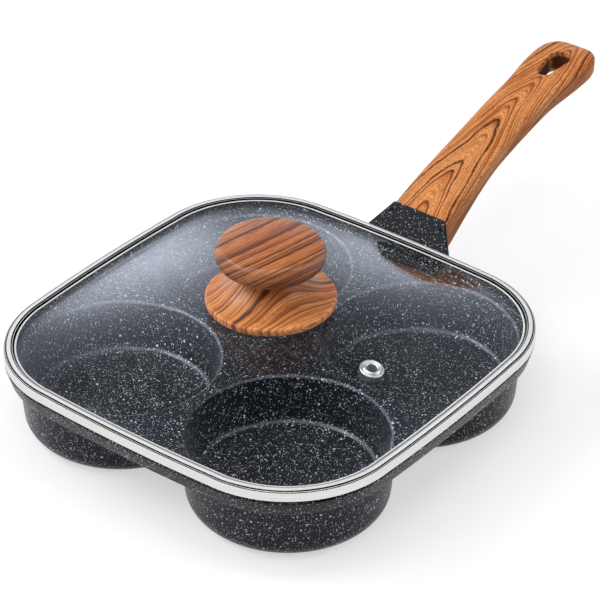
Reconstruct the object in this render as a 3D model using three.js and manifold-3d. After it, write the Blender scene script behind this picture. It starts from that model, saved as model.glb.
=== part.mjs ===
// Four-section breakfast pan with a domed glass lid. Millimetres, +Z up.
// The pan stands on the flats of its four cups at z = 0, and its handle runs out along +Y.
import * as THREE from "three";
import { mergeVertices } from "three/addons/utils/BufferGeometryUtils.js";
import Module from "manifold-3d";

const wasm = await Module();
wasm.setup();

// Cups: four tapered wells cast in one piece with the deck that joins them.
const CUP_MOUTH_RADIUS = 41.6; // inside, where the wall meets the deck
const CUP_DRAFT = 3.6; // how far the wall leans in on its way down to the floor
const CUP_DEPTH = 21.4; // deck to floor
const CUP_FLOOR_THICKNESS = 9.0; // floor above the stove
const CUP_FLOOR_FILLET = 6.0; // wall to floor
const CUP_LIP_ROUND = 1.4; // wall to deck
const CUP_WALL_AT_DECK = 2.0;
const CUP_WALL_AT_FLOOR = 3.4;
const CUP_HEEL_RADIUS = 9.0; // outside wall to foot
const FOOT_RING_WIDTH = 6.0; // flat ring that stands on the stove
const FOOT_RECESS_DEPTH = 0.6; // shallow turned recess inside that ring
const CUP_LAND = 5.4; // deck between two neighbouring mouths

// Deck and rim: a rounded square round the cups, whose sides bow outwards a little.
const DECK_THICKNESS = 3.5;
const DECK_FILLET = 1.2; // between the deck and the inside of the rim
const RIM_LAND = 8.3; // from a mouth to the outside of the rim, in the middle of a side
const RIM_CORNER_LAND = 7.9; // the corners' plan radius over the mouths'
const RIM_SIDE_RADIUS = 900; // bow of each side
const RIM_RISE = 4.0; // rim above the deck
const RIM_WALL = 4.0; // width of the flat on top of the rim, with its two rounds
const RIM_ROUND = 0.8; // radius on both edges of that flat
const RIM_TAPER = 1.5; // how far the foot of the outer wall stands in from its top

// Handle lug, cast on the pan between two of the cups.
const PAD_PROUD = 0.5; // how far the lug's pad stands out from the rim
const PAD_THICKNESS = 3.8;
const PAD_HALF_WIDTH = 23.4;
const PAD_DROP = 1.0; // top of the pad below the rim
const PAD_HEIGHT = 23.4;
const PAD_CORNER = 5.0; // exponent of the pad's rounded outline
const RIB_THICKNESS = 4.0; // two ribs brace the pad from under the deck
const RIB_SPACING = 30.0;
const RIB_LENGTH = 22.0;
const RIB_DEPTH = 11.0;
const TENON_ROOT_HALF_WIDTH = 10.0;
const TENON_HALF_WIDTH = 7.5;
const TENON_HALF_HEIGHT = 4.6;
const TENON_REACH = 17.0; // along Y, past the guard and into the grip
const TENON_SLOPE = 25.0; // degrees, of the part inside the grip
const TENON_CORNER = 4.0; // exponent of its rounded section

// Handle guard: a flared cast sleeve between the pan and the grip.
const GUARD_LENGTH = 9.6;
const GUARD_SIDE_WALL = 2.8; // measured across X
const GUARD_SLOPED_WALL = 3.4; // measured straight up, through the sloping top and foot
const GUARD_LAP = 0.6; // flare past each side of the pad
const GUARD_CLIMB = 15.6; // middle of the junction above the middle of the pad
const JUNCTION_HALF_WIDTH = 15.2; // where guard and grip meet
const JUNCTION_DEPTH = 21.8;

// Grip: a moulded handle that climbs away from the pan.
const GRIP_LENGTH = 123.0; // along Y, guard to tip
const GRIP_RISE = 32.0; // tip above the top of the guard
const GRIP_ARCH = 1.6; // exponent of the climb, steep at the guard and level at the tip
const GRIP_END_ROUND = 11.0; // length of the rounded tip
const GRIP_BELLY = 23.0; // greatest thickness, just past the guard
const GRIP_BELLY_PLACE = 4.0; // along Y from the junction
const GRIP_BELLY_LENGTH = 40.0; // from there to the slim shank
const GRIP_BELLY_FALL = 1.8; // exponent of that thinning
const GRIP_WAIST_LENGTH = 50.0; // over which the sides close in to the shank
const GRIP_SHANK_THICKNESS = 13.0; // the slim middle
const GRIP_SHANK_HALF_WIDTH = 12.4;
const GRIP_SWELL_LENGTH = 43.0; // from the shank to the tip
const GRIP_SWELL_RUN = 26.0; // length over which that swell grows
const GRIP_TIP_HALF_WIDTH = 14.6;
const GRIP_TIP_THICKNESS = 13.0;
const GRIP_TOP_CORNER = 5.2; // exponents of the section's upper and lower halves
const GRIP_UNDER_CORNER = 2.6;
const GRIP_WIDEST = 0.42; // height of the widest line below the top, over the thickness
const HANG_HOLE_LENGTH = 20.0; // teardrop hole near the tip
const HANG_HOLE_WIDE_RADIUS = 5.2;
const HANG_HOLE_NARROW_RADIUS = 3.4;
const HANG_HOLE_TIP_MARGIN = 9.5; // from the hole to the tip of the grip
const HANG_HOLE_TILT = 8.0; // degrees, square to the top of the grip
const SOCKET_CLEARANCE = 0.35; // grip socket round the tenon

// Handle screw, driven up through the belly of the grip into the tenon.
const SCREW_POSITION = 9.0; // along Y from the junction
const SCREW_LAND = 2.6; // grip wall between the screw's shoulder and the socket
const SCREW_RADIUS = 2.5;
const SCREW_HEAD_RADIUS = 4.3;
const SCREW_HEAD_HEIGHT = 2.8;
const SCREW_SOCKET_RADIUS = 1.9; // hexagon socket in the head
const SCREW_SOCKET_DEPTH = 1.8;
const SCREW_TIP_COVER = 0.8; // tenon over the screw's tip
const SCREW_CLEARANCE = 0.35;
const SPRING_WASHER_RADIUS = 4.4;
const SPRING_WASHER_THICKNESS = 1.2;
const SPRING_WASHER_SPLIT = 0.8;
const COUNTERBORE_CLEARANCE = 0.5; // round the washer
const STACK_GAP = 0.3; // clearance between stacked pieces

// Lid band: a rolled steel channel that holds the edge of the glass.
const LID_SEAT_CLEARANCE = 0.3; // band above rim
const BAND_SHEET = 0.5;
const BAND_OVERHANG = 0.6; // widest line of the band outside the rim
const BAND_CREASE_INSET = 1.0; // crease inside the rim
const BAND_FLANGE = 3.0; // top flange, crease to inner edge
const BAND_LIP_GAP = 0.9; // locating lip inside the rim wall
const BAND_LIP_DEPTH = 2.9; // lip below the seat

// Glass: a toughened dome with a flat edge.
const GLASS_THICKNESS = 3.2;
const GLASS_EDGE_GAP = 0.5; // glass edge inside the band's crease
const GLASS_BED = 0.3; // clearance of the glass in its channel
const GLASS_FLAT_EDGE = 4.6; // width of the flat margin
const GLASS_RISE = 15.4; // dome above the flat margin
const GLASS_CROWN_MARGIN = 4.0; // flat round the knob's gasket
const GLASS_DOME_POWER = 1.2; // 1 is a parabola, more gives a softer foot

// Steam vent: a steel eyelet with a washer under the glass.
const VENT_RADIUS = 56.6; // from the middle of the lid
const VENT_ANGLE = -5.3; // degrees from +X
const EYELET_FLANGE_RADIUS = 5.1;
const EYELET_FLANGE_HEIGHT = 1.3;
const EYELET_BORE_RADIUS = 2.3;
const EYELET_WALL = 0.6;
const EYELET_TAIL = 1.9; // barrel below the glass
const VENT_WASHER_RADIUS = 4.8;
const VENT_WASHER_THICKNESS = 0.8;
const VENT_CLEARANCE = 0.3;

// Knob: a flared skirt under a cushion-shaped grip, held by a screw from below.
const KNOB_GASKET_RADIUS = 9.0;
const KNOB_GASKET_THICKNESS = 1.0;
const SKIRT_RADIUS = 27.5;
const SKIRT_EDGE_HEIGHT = 3.2;
const SKIRT_HEIGHT = 13.5;
const SKIRT_NECK_RADIUS = 8.6;
const SKIRT_HOLLOW_DEPTH = 3.0; // dished underside
const SKIRT_LIP = 3.5; // width of the edge round the dish
const SKIRT_SEAT_MARGIN = 2.0; // boss in the dish, past the gasket it rests on
const KNOB_NECK_RADIUS = 7.4;
const KNOB_DISC_RADIUS = 23.0;
const KNOB_DISC_HEIGHT = 11.0;
const KNOB_NECK_HEIGHT = 7.6; // neck and underside of the grip
const KNOB_CROWN = 1.6; // dome of the grip's top
const INSERT_LENGTH = 11.0;
const INSERT_WALL = 1.7;
const INSERT_GROOVE = 0.7;
const INSERT_CLEARANCE = 0.3;
const KNOB_SCREW_RADIUS = 1.9;
const KNOB_SCREW_CLEARANCE = 0.4;
const KNOB_SCREW_HEAD_RADIUS = 4.4;
const KNOB_SCREW_HEAD_HEIGHT = 2.4;
const KNOB_SCREW_SLOT_WIDTH = 1.0;
const KNOB_SCREW_SLOT_DEPTH = 1.0;
const KNOB_SCREW_ENGAGED = 9.0; // screw inside the insert
const KNOB_WASHER_RADIUS = 6.6;
const KNOB_WASHER_THICKNESS = 1.0;
const LOWER_GASKET_RADIUS = 7.6;
const LOWER_GASKET_THICKNESS = 1.2;

// Facets.
const CUP_FACETS = 36;
const KNOB_FACETS = 32;
const SMALL_FACETS = 16;
const CORNER_STEPS = 10;
const SIDE_STEPS = 2;
const SECTION_POINTS = 24;

const DEGREE = Math.PI / 180;
const at = (x, y) => new THREE.Vector2(x, y);

// Points of a circular arc.
function arc(x, y, radius, from, to, steps) {
  const clockwise = to < from;
  return new THREE.EllipseCurve(x, y, radius, radius, from, to, clockwise).getPoints(steps);
}

// A three.js geometry as a closed solid, with its faces turned outwards.
function solid(geometry) {
  const bare = geometry.clone();
  bare.deleteAttribute("normal");
  bare.deleteAttribute("uv");
  const merged = mergeVertices(bare, 1e-4);
  const vertProperties = new Float32Array(merged.attributes.position.array);
  const triVerts = new Uint32Array(merged.index.array);
  const made = new wasm.Manifold(new wasm.Mesh({ numProp: 3, vertProperties, triVerts }));
  if (made.volume() >= 0) return made;
  for (let i = 0; i < triVerts.length; i += 3) {
    [triVerts[i + 1], triVerts[i + 2]] = [triVerts[i + 2], triVerts[i + 1]];
  }
  return new wasm.Manifold(new wasm.Mesh({ numProp: 3, vertProperties, triVerts }));
}

// A closed solid as a three.js geometry.
function geometryOf(body) {
  const mesh = body.getMesh();
  const geometry = new THREE.BufferGeometry();
  geometry.setAttribute("position", new THREE.BufferAttribute(new Float32Array(mesh.vertProperties), 3));
  geometry.setIndex(new THREE.BufferAttribute(new Uint32Array(mesh.triVerts), 1));
  geometry.computeVertexNormals();
  return geometry;
}

// A profile of (radius, height) points turned about Z.
function turned(profile, facets) {
  return new THREE.LatheGeometry(profile, facets).rotateX(Math.PI / 2);
}

// A round bar or bore along Z between two heights.
function bar(radius, from, to, facets) {
  const round = new THREE.CylinderGeometry(radius, radius, to - from, facets);
  return round.rotateX(Math.PI / 2).translate(0, 0, (from + to) / 2);
}

// A flat ring with a bore, lying on a height.
function ring(bore, radius, foot, thickness, facets) {
  const top = foot + thickness;
  const corners = [at(bore, foot), at(radius, foot), at(radius, top), at(bore, top), at(bore, foot)];
  return turned(corners, facets);
}

// A stack of rings with equal point counts, skinned and closed with flat ends.
function lofted(rings) {
  const count = rings[0].length;
  const positions = rings.flat().flatMap((p) => [p.x, p.y, p.z]);
  const faces = [];
  for (let level = 0; level + 1 < rings.length; level++) {
    for (let i = 0; i < count; i++) {
      const next = (i + 1) % count;
      const a = level * count + i;
      const b = level * count + next;
      faces.push(a, b, a + count, b, b + count, a + count);
    }
  }
  for (const end of [0, rings.length - 1]) {
    const centre = new THREE.Vector3();
    rings[end].forEach((p) => centre.addScaledVector(p, 1 / count));
    const middle = positions.length / 3;
    positions.push(centre.x, centre.y, centre.z);
    for (let i = 0; i < count; i++) {
      const a = end * count + i;
      const b = end * count + ((i + 1) % count);
      faces.push(...(end === 0 ? [middle, b, a] : [middle, a, b]));
    }
  }
  const geometry = new THREE.BufferGeometry();
  geometry.setAttribute("position", new THREE.Float32BufferAttribute(positions, 3));
  return geometry.setIndex(faces);
}

// Rings joined end to end into a closed hoop.
function hooped(rings) {
  const count = rings[0].length;
  const faces = [];
  rings.forEach((ringPoints, level) => {
    const above = (level + 1) % rings.length;
    for (let i = 0; i < count; i++) {
      const next = (i + 1) % count;
      const [a, b] = [level * count + i, level * count + next];
      const [c, d] = [above * count + i, above * count + next];
      faces.push(a, b, c, b, d, c);
    }
  });
  const geometry = new THREE.BufferGeometry();
  const positions = rings.flat().flatMap((p) => [p.x, p.y, p.z]);
  geometry.setAttribute("position", new THREE.Float32BufferAttribute(positions, 3));
  return geometry.setIndex(faces);
}

// Sizes that follow from the cups: their places, the deck and the rim round them.
const cupPitch = 2 * CUP_MOUTH_RADIUS + CUP_LAND;
const cupFloorRadius = CUP_MOUTH_RADIUS - CUP_DRAFT;
const deckHeight = CUP_FLOOR_THICKNESS + CUP_DEPTH;
const rimTop = deckHeight + RIM_RISE;
const rimHalfWidth = cupPitch / 2 + CUP_MOUTH_RADIUS + RIM_LAND;
const rimCornerRadius = CUP_MOUTH_RADIUS + RIM_CORNER_LAND;

// The rim's plan is four corner arcs and four side arcs that share their tangents.
const sideSpread = (() => {
  const reach = (RIM_SIDE_RADIUS - rimHalfWidth) / (RIM_SIDE_RADIUS - rimCornerRadius);
  return Math.acos(reach / Math.SQRT2) - Math.PI / 4;
})();

// The rim's plan moved outwards by an offset, at one height.
function rimRing(offset, height) {
  const points = [];
  const sideCentre = rimHalfWidth - RIM_SIDE_RADIUS;
  const between = RIM_SIDE_RADIUS - rimCornerRadius;
  for (let quarter = 0; quarter < 4; quarter++) {
    const facing = (quarter * Math.PI) / 2;
    const side = arc(sideCentre, 0, RIM_SIDE_RADIUS + offset, -sideSpread, sideSpread, SIDE_STEPS);
    const cornerX = sideCentre + between * Math.cos(sideSpread);
    const cornerY = between * Math.sin(sideSpread);
    const cornerEnd = Math.PI / 2 - sideSpread;
    const corner = arc(cornerX, cornerY, rimCornerRadius + offset, sideSpread, cornerEnd, CORNER_STEPS);
    for (const p of [...side.slice(0, -1), ...corner.slice(0, -1)]) {
      const turnedPoint = p.clone().rotateAround(at(0, 0), facing);
      points.push(new THREE.Vector3(turnedPoint.x, turnedPoint.y, height));
    }
  }
  return points;
}

// A smooth step from 0 to 1 over a share of 0 to 1.
function eased(share) {
  const t = Math.min(1, Math.max(0, share));
  return t * t * (3 - 2 * t);
}

// A handle section across Y: a rounded box with its own upper and lower roundness.
function handleSection(y, halfWidth, top, foot, upper, lower, widest) {
  const points = [];
  const middle = top - (top - foot) * widest;
  for (let i = 0; i < SECTION_POINTS; i++) {
    const angle = (i / SECTION_POINTS) * 2 * Math.PI;
    const [c, s] = [Math.cos(angle), Math.sin(angle)];
    const power = 2 / (s >= 0 ? upper : lower);
    const height = s >= 0 ? top - middle : middle - foot;
    const x = halfWidth * Math.sign(c) * Math.abs(c) ** power;
    const z = middle + height * Math.sign(s) * Math.abs(s) ** power;
    points.push(new THREE.Vector3(x, y, z));
  }
  return points;
}

// Heights of the lug's pad, and places along Y.
const padTop = rimTop - PAD_DROP;
const padFoot = padTop - PAD_HEIGHT;
const padFace = rimHalfWidth + PAD_PROUD;
const guardStart = padFace + LID_SEAT_CLEARANCE;
const junction = guardStart + GUARD_LENGTH;
const gripStart = junction + STACK_GAP;
const gripTip = gripStart + GRIP_LENGTH;

// Middle height of the guard, along its climb from the pad to the junction.
const padMiddle = (padTop + padFoot) / 2;
const guardCentreAt = (y) => padMiddle + (GUARD_CLIMB * (y - guardStart)) / GUARD_LENGTH;
const junctionMiddle = padMiddle + GUARD_CLIMB;
const junctionTop = junctionMiddle + JUNCTION_DEPTH / 2;
const junctionFoot = junctionMiddle - JUNCTION_DEPTH / 2;

// Height of the tenon's axis inside the grip, and the screw's frame square to that axis.
const tenonHeightAt = (y) => junctionMiddle + (y - junction) * Math.tan(TENON_SLOPE * DEGREE);
const screwPlace = junction + SCREW_POSITION;
const screwAxis = new THREE.Matrix4()
  .makeTranslation(0, screwPlace, tenonHeightAt(screwPlace))
  .multiply(new THREE.Matrix4().makeRotationX(TENON_SLOPE * DEGREE));
const screwBore = SCREW_RADIUS + SCREW_CLEARANCE;
const tenonUnder = -TENON_HALF_HEIGHT * Math.cos(TENON_SLOPE * DEGREE);
const screwShoulder = tenonUnder - SOCKET_CLEARANCE - SCREW_LAND;
const screwTip = -tenonUnder - SCREW_TIP_COVER;

const cupCentres = [
  [-1, -1],
  [1, -1],
  [1, 1],
  [-1, 1],
].map(([x, y]) => [(x * cupPitch) / 2, (y * cupPitch) / 2]);

// The outside of one cup: foot ring, rounded heel and tapered wall.
function cupOutside() {
  const foot = cupFloorRadius + CUP_WALL_AT_FLOOR;
  const lean = Math.atan((CUP_MOUTH_RADIUS + CUP_WALL_AT_DECK - foot) / deckHeight);
  const heel = foot + CUP_HEEL_RADIUS * (Math.tan(lean) - 1 / Math.cos(lean));
  const recess = heel - FOOT_RING_WIDTH;
  const top = deckHeight - DECK_THICKNESS / 2;
  const profile = [
    at(0, FOOT_RECESS_DEPTH),
    at(recess - FOOT_RECESS_DEPTH, FOOT_RECESS_DEPTH),
    at(recess, 0),
    ...arc(heel, CUP_HEEL_RADIUS, CUP_HEEL_RADIUS, -Math.PI / 2, -lean, 3),
    at(foot + top * Math.tan(lean), top),
    at(0, top),
  ];
  return turned(profile, CUP_FACETS);
}

// The space inside one cup: flat floor, fillet, tapered wall and rounded lip.
function cupInside() {
  const lean = Math.atan(CUP_DRAFT / CUP_DEPTH);
  const filletX = cupFloorRadius + CUP_FLOOR_FILLET * (Math.tan(lean) - 1 / Math.cos(lean));
  const lipX = CUP_MOUTH_RADIUS + CUP_LIP_ROUND * (1 / Math.cos(lean) - Math.tan(lean));
  const filletZ = CUP_FLOOR_THICKNESS + CUP_FLOOR_FILLET;
  const lipZ = deckHeight - CUP_LIP_ROUND;
  const profile = [
    at(0, CUP_FLOOR_THICKNESS),
    ...arc(filletX, filletZ, CUP_FLOOR_FILLET, -Math.PI / 2, -lean, 4),
    ...arc(lipX, lipZ, CUP_LIP_ROUND, Math.PI - lean, Math.PI / 2, 2),
    at(lipX, rimTop),
    at(0, rimTop),
  ];
  return turned(profile, CUP_FACETS);
}

// The tray: deck, rim wall and the round on top of the rim, as rings from the underside up.
function tray() {
  const foot = deckHeight - DECK_THICKNESS;
  const inner = -RIM_WALL;
  const outerRound = arc(-RIM_ROUND, rimTop - RIM_ROUND, RIM_ROUND, 0, Math.PI / 2, 2);
  const innerRound = arc(inner + RIM_ROUND, rimTop - RIM_ROUND, RIM_ROUND, Math.PI / 2, Math.PI, 2);
  const root = arc(inner - DECK_FILLET, deckHeight + DECK_FILLET, DECK_FILLET, 0, -Math.PI / 2, 2);
  const section = [
    at(-RIM_TAPER - RIM_ROUND, foot),
    at(-RIM_TAPER, foot + RIM_ROUND),
    ...outerRound,
    ...innerRound,
    ...root,
  ];
  return lofted(section.map((p) => rimRing(p.x, p.y)));
}

// The lug: a pad on the rim, and a tenon that leans up into the grip.
function lug() {
  const pad = [padFace - PAD_THICKNESS, padFace].map((y) =>
    handleSection(y, PAD_HALF_WIDTH, padTop, padFoot, PAD_CORNER, PAD_CORNER, 0.5),
  );
  const root = padFace - PAD_THICKNESS / 2;
  const block = (y, centre, halfWidth, halfHeight) =>
    handleSection(y, halfWidth, centre + halfHeight, centre - halfHeight, TENON_CORNER, TENON_CORNER, 0.5);
  const reach = junction + TENON_REACH;
  const tenon = [
    block(root, guardCentreAt(root), TENON_ROOT_HALF_WIDTH, TENON_HALF_HEIGHT),
    block(junction, junctionMiddle, TENON_HALF_WIDTH, TENON_HALF_HEIGHT),
    block(reach, tenonHeightAt(reach), TENON_HALF_WIDTH, TENON_HALF_HEIGHT),
  ];
  return solid(lofted(pad)).add(solid(lofted(tenon)));
}

// One brace rib: a triangle under the deck, behind the pad.
function rib(x) {
  const start = padFace - PAD_THICKNESS / 2;
  const deckFoot = deckHeight - DECK_THICKNESS / 2;
  const outline = new THREE.Shape();
  outline.moveTo(start, deckFoot);
  outline.lineTo(start - RIB_LENGTH, deckFoot);
  outline.lineTo(start, deckFoot - RIB_DEPTH);
  const plate = new THREE.ExtrudeGeometry(outline, { depth: RIB_THICKNESS, bevelEnabled: false });
  plate.translate(0, 0, -RIB_THICKNESS / 2);
  const stand = new THREE.Matrix4().makeBasis(
    new THREE.Vector3(0, 1, 0),
    new THREE.Vector3(0, 0, 1),
    new THREE.Vector3(1, 0, 0),
  );
  return plate.applyMatrix4(stand).translate(x, 0, 0);
}

function panBody() {
  let body = solid(tray()).add(lug());
  for (const side of [-1, 1]) body = body.add(solid(rib((side * RIB_SPACING) / 2)));
  for (const [x, y] of cupCentres) body = body.add(solid(cupOutside().translate(x, y, 0)));
  for (const [x, y] of cupCentres) body = body.subtract(solid(cupInside().translate(x, y, 0)));
  const tapped = bar(screwBore, 2 * tenonUnder, screwTip + STACK_GAP, SMALL_FACETS).applyMatrix4(screwAxis);
  return geometryOf(body.subtract(solid(tapped)));
}

// One section of the guard, at a share of its length and inside its outer face by its walls.
function guardSection(share, sideWall, slopedWall) {
  const blend = (wide, narrow) => wide + (narrow - wide) * share;
  return handleSection(
    guardStart + GUARD_LENGTH * share,
    blend(PAD_HALF_WIDTH + GUARD_LAP, JUNCTION_HALF_WIDTH) - sideWall,
    blend(padTop, junctionTop) - slopedWall,
    blend(padFoot, junctionFoot) + slopedWall,
    blend(PAD_CORNER, GRIP_TOP_CORNER),
    blend(PAD_CORNER, GRIP_UNDER_CORNER),
    blend(0.5, GRIP_WIDEST),
  );
}

// The guard: a sleeve flared towards the pan and open at both ends.
function handleGuard() {
  const outside = [0, 0.5, 1].map((share) => guardSection(share, 0, 0));
  const inside = [-0.1, 0.5, 1.1].map((share) => guardSection(share, GUARD_SIDE_WALL, GUARD_SLOPED_WALL));
  return geometryOf(solid(lofted(outside)).subtract(solid(lofted(inside))));
}

// Side and top views of the grip, at a distance from the junction.
const gripTop = (along) => junctionTop + GRIP_RISE * (1 - Math.max(0, 1 - along / GRIP_LENGTH) ** GRIP_ARCH);
const gripSwell = (along) => eased((along - (GRIP_LENGTH - GRIP_SWELL_LENGTH)) / GRIP_SWELL_RUN);
function gripThickness(along) {
  const filling = eased(along / GRIP_BELLY_PLACE);
  const belly = JUNCTION_DEPTH + (GRIP_BELLY - JUNCTION_DEPTH) * filling;
  const left = 1 - Math.min(1, Math.max(0, along - GRIP_BELLY_PLACE) / GRIP_BELLY_LENGTH);
  const shank = GRIP_SHANK_THICKNESS + (belly - GRIP_SHANK_THICKNESS) * left ** GRIP_BELLY_FALL;
  return shank + (GRIP_TIP_THICKNESS - GRIP_SHANK_THICKNESS) * gripSwell(along);
}
function gripHalfWidth(along) {
  const closing = (GRIP_SHANK_HALF_WIDTH - JUNCTION_HALF_WIDTH) * eased(along / GRIP_WAIST_LENGTH);
  const swell = (GRIP_TIP_HALF_WIDTH - GRIP_SHANK_HALF_WIDTH) * gripSwell(along);
  return JUNCTION_HALF_WIDTH + closing + swell;
}

// Grip sections: close together over the belly and the rounded tip.
function gripBody() {
  const roundStart = GRIP_LENGTH - GRIP_END_ROUND;
  const stations = [];
  for (let step = 0; step < 13; step++) stations.push(roundStart * (step / 13) ** 1.3);
  for (const step of [0, 0.3, 0.55, 0.75, 0.89, 0.97, 1]) {
    stations.push(roundStart + GRIP_END_ROUND * step);
  }
  const sections = stations.map((along) => {
    const into = Math.min(1, Math.max(0, (along - roundStart) / GRIP_END_ROUND));
    const narrowing = 0.32 + 0.68 * (1 - into ** 2.3) ** (1 / 2.3);
    const thinning = 0.55 + 0.45 * (1 - into ** 3) ** (1 / 3);
    const half = gripThickness(along) / 2;
    const middle = gripTop(along) - half;
    return handleSection(
      gripStart + along,
      gripHalfWidth(along) * narrowing,
      middle + half * thinning,
      middle - half * thinning,
      GRIP_TOP_CORNER,
      GRIP_UNDER_CORNER,
      GRIP_WIDEST,
    );
  });
  return solid(lofted(sections));
}

// The teardrop hole: two arcs joined by their shared tangents.
function hangHole() {
  const wideY = HANG_HOLE_LENGTH / 2 - HANG_HOLE_WIDE_RADIUS;
  const narrowY = HANG_HOLE_NARROW_RADIUS - HANG_HOLE_LENGTH / 2;
  const lean = Math.asin((HANG_HOLE_WIDE_RADIUS - HANG_HOLE_NARROW_RADIUS) / (wideY - narrowY));
  const outline = new THREE.Shape([
    ...arc(0, wideY, HANG_HOLE_WIDE_RADIUS, -lean, Math.PI + lean, 14),
    ...arc(0, narrowY, HANG_HOLE_NARROW_RADIUS, Math.PI + lean, 2 * Math.PI - lean, 8),
  ]);
  const reach = 40;
  const cutter = new THREE.ExtrudeGeometry(outline, { depth: reach, bevelEnabled: false });
  cutter.translate(0, 0, -reach / 2).rotateX(HANG_HOLE_TILT * DEGREE);
  const along = GRIP_LENGTH - HANG_HOLE_TIP_MARGIN - HANG_HOLE_LENGTH / 2;
  const height = gripTop(along) - gripThickness(along) / 2;
  return cutter.translate(0, gripStart + along, height);
}

function handleGrip() {
  const socketEnd = junction + TENON_REACH + SOCKET_CLEARANCE;
  const socket = [junction - 1, socketEnd].map((y) =>
    handleSection(
      y,
      TENON_HALF_WIDTH + SOCKET_CLEARANCE,
      tenonHeightAt(y) + TENON_HALF_HEIGHT + SOCKET_CLEARANCE,
      tenonHeightAt(y) - TENON_HALF_HEIGHT - SOCKET_CLEARANCE,
      TENON_CORNER,
      TENON_CORNER,
      0.5,
    ),
  );
  const bore = bar(screwBore, screwShoulder - 1, 0, SMALL_FACETS).applyMatrix4(screwAxis);
  const below = -2 * GRIP_BELLY;
  const wide = SPRING_WASHER_RADIUS + COUNTERBORE_CLEARANCE;
  const counterbore = bar(wide, below, screwShoulder, SMALL_FACETS).applyMatrix4(screwAxis);
  let grip = gripBody().subtract(solid(lofted(socket)));
  grip = grip.subtract(solid(hangHole()));
  grip = grip.subtract(solid(bore)).subtract(solid(counterbore));
  return geometryOf(grip);
}

// Heights of the handle screw's stack, under its shoulder in the grip.
const springWasherFoot = screwShoulder - STACK_GAP - SPRING_WASHER_THICKNESS;
const screwHeadTop = springWasherFoot - STACK_GAP;

// The handle screw, along Z, with its head at the bottom.
function handleScrew() {
  const head = screwHeadTop - SCREW_HEAD_HEIGHT;
  const profile = [
    at(0, head),
    at(SCREW_HEAD_RADIUS - 0.5, head),
    at(SCREW_HEAD_RADIUS, head + 0.5),
    at(SCREW_HEAD_RADIUS, screwHeadTop),
    at(SCREW_RADIUS, screwHeadTop),
    at(SCREW_RADIUS, screwTip - 0.6),
    at(SCREW_RADIUS - 0.6, screwTip),
    at(0, screwTip),
  ];
  const socket = bar(SCREW_SOCKET_RADIUS, head - 1, head + SCREW_SOCKET_DEPTH, 6);
  return geometryOf(solid(turned(profile, SMALL_FACETS)).subtract(solid(socket)));
}

// A split washer under the screw head.
function springWasher() {
  const washer = ring(screwBore, SPRING_WASHER_RADIUS, springWasherFoot, SPRING_WASHER_THICKNESS, SMALL_FACETS);
  const split = new THREE.BoxGeometry(SPRING_WASHER_RADIUS, SPRING_WASHER_SPLIT, 4 * SPRING_WASHER_THICKNESS);
  split.translate(SPRING_WASHER_RADIUS / 2 + screwBore / 2, 0, springWasherFoot);
  return geometryOf(solid(washer).subtract(solid(split)));
}

// Heights in the lid, above the seat under its band.
const glassFoot = BAND_SHEET + GLASS_BED;
const glassEdgeTop = glassFoot + GLASS_THICKNESS;
const bandHeight = glassEdgeTop + GLASS_BED + BAND_SHEET;
const glassInset = BAND_CREASE_INSET + BAND_SHEET + GLASS_EDGE_GAP;
const lidSeat = rimTop + LID_SEAT_CLEARANCE;

// The band's section is one folded sheet: top flange, crease, flared face, seat and locating lip.
function lidBand() {
  const crease = -BAND_CREASE_INSET;
  const flangeEdge = crease - BAND_FLANGE;
  const lip = -RIM_WALL - BAND_LIP_GAP;
  const seatRound = BAND_SHEET * 1.4;
  const face = (share) => {
    const out = crease + (BAND_OVERHANG - crease) * Math.sin((share * Math.PI) / 2) ** 1.1;
    return at(out, bandHeight - (bandHeight - seatRound) * share);
  };
  const outside = [
    at(flangeEdge, bandHeight + 0.1),
    at(crease - 0.5, bandHeight),
    face(0.06),
    face(0.35),
    face(0.7),
    face(1),
    at(BAND_OVERHANG - 0.25 * seatRound, 0.3 * seatRound),
    at(BAND_OVERHANG - seatRound, 0),
    at(lip, 0),
    at(lip, -BAND_LIP_DEPTH),
  ];
  const inside = [
    at(lip - BAND_SHEET, -BAND_LIP_DEPTH),
    at(lip - BAND_SHEET, BAND_SHEET),
    at(BAND_OVERHANG - seatRound, BAND_SHEET),
    ...[1, 0.7, 0.35].map((share) => face(share).sub(at(BAND_SHEET, 0))),
    at(crease - 0.6, bandHeight - BAND_SHEET),
    at(flangeEdge, bandHeight - BAND_SHEET + 0.1),
  ];
  return geometryOf(solid(hooped([...outside, ...inside].map((p) => rimRing(p.x, p.y)))));
}

// Height of the dome above the flat margin, at a share of the way from the middle to that margin.
const domeRise = (share) => GLASS_RISE * Math.max(0, 1 - share * share) ** GLASS_DOME_POWER;
const domeHalfWidth = rimHalfWidth - glassInset - GLASS_FLAT_EDGE;
const crownShare = (KNOB_GASKET_RADIUS + GLASS_CROWN_MARGIN) / domeHalfWidth;
const glassCrown = glassEdgeTop + domeRise(crownShare);

// One ring of the dome: round near the middle, the rim's own plan at the margin.
function domeRing(share, foot) {
  const margin = rimRing(-glassInset - GLASS_FLAT_EDGE, 0);
  const squareness = share * share;
  return margin.map((p) => {
    const radius = Math.hypot(p.x, p.y);
    const wanted = share * (domeHalfWidth * (1 - squareness) + radius * squareness);
    return new THREE.Vector3((p.x / radius) * wanted, (p.y / radius) * wanted, foot + domeRise(share));
  });
}

// The eyelet stands square to the dome.
const ventShare = VENT_RADIUS / domeHalfWidth;
const ventSlope = Math.atan((domeRise(ventShare + 0.01) - domeRise(ventShare - 0.01)) / (0.02 * domeHalfWidth));
const ventAxis = new THREE.Matrix4()
  .makeRotationZ(VENT_ANGLE * DEGREE)
  .multiply(new THREE.Matrix4().makeTranslation(VENT_RADIUS, 0, glassEdgeTop + domeRise(ventShare)))
  .multiply(new THREE.Matrix4().makeRotationY(-ventSlope));

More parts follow.
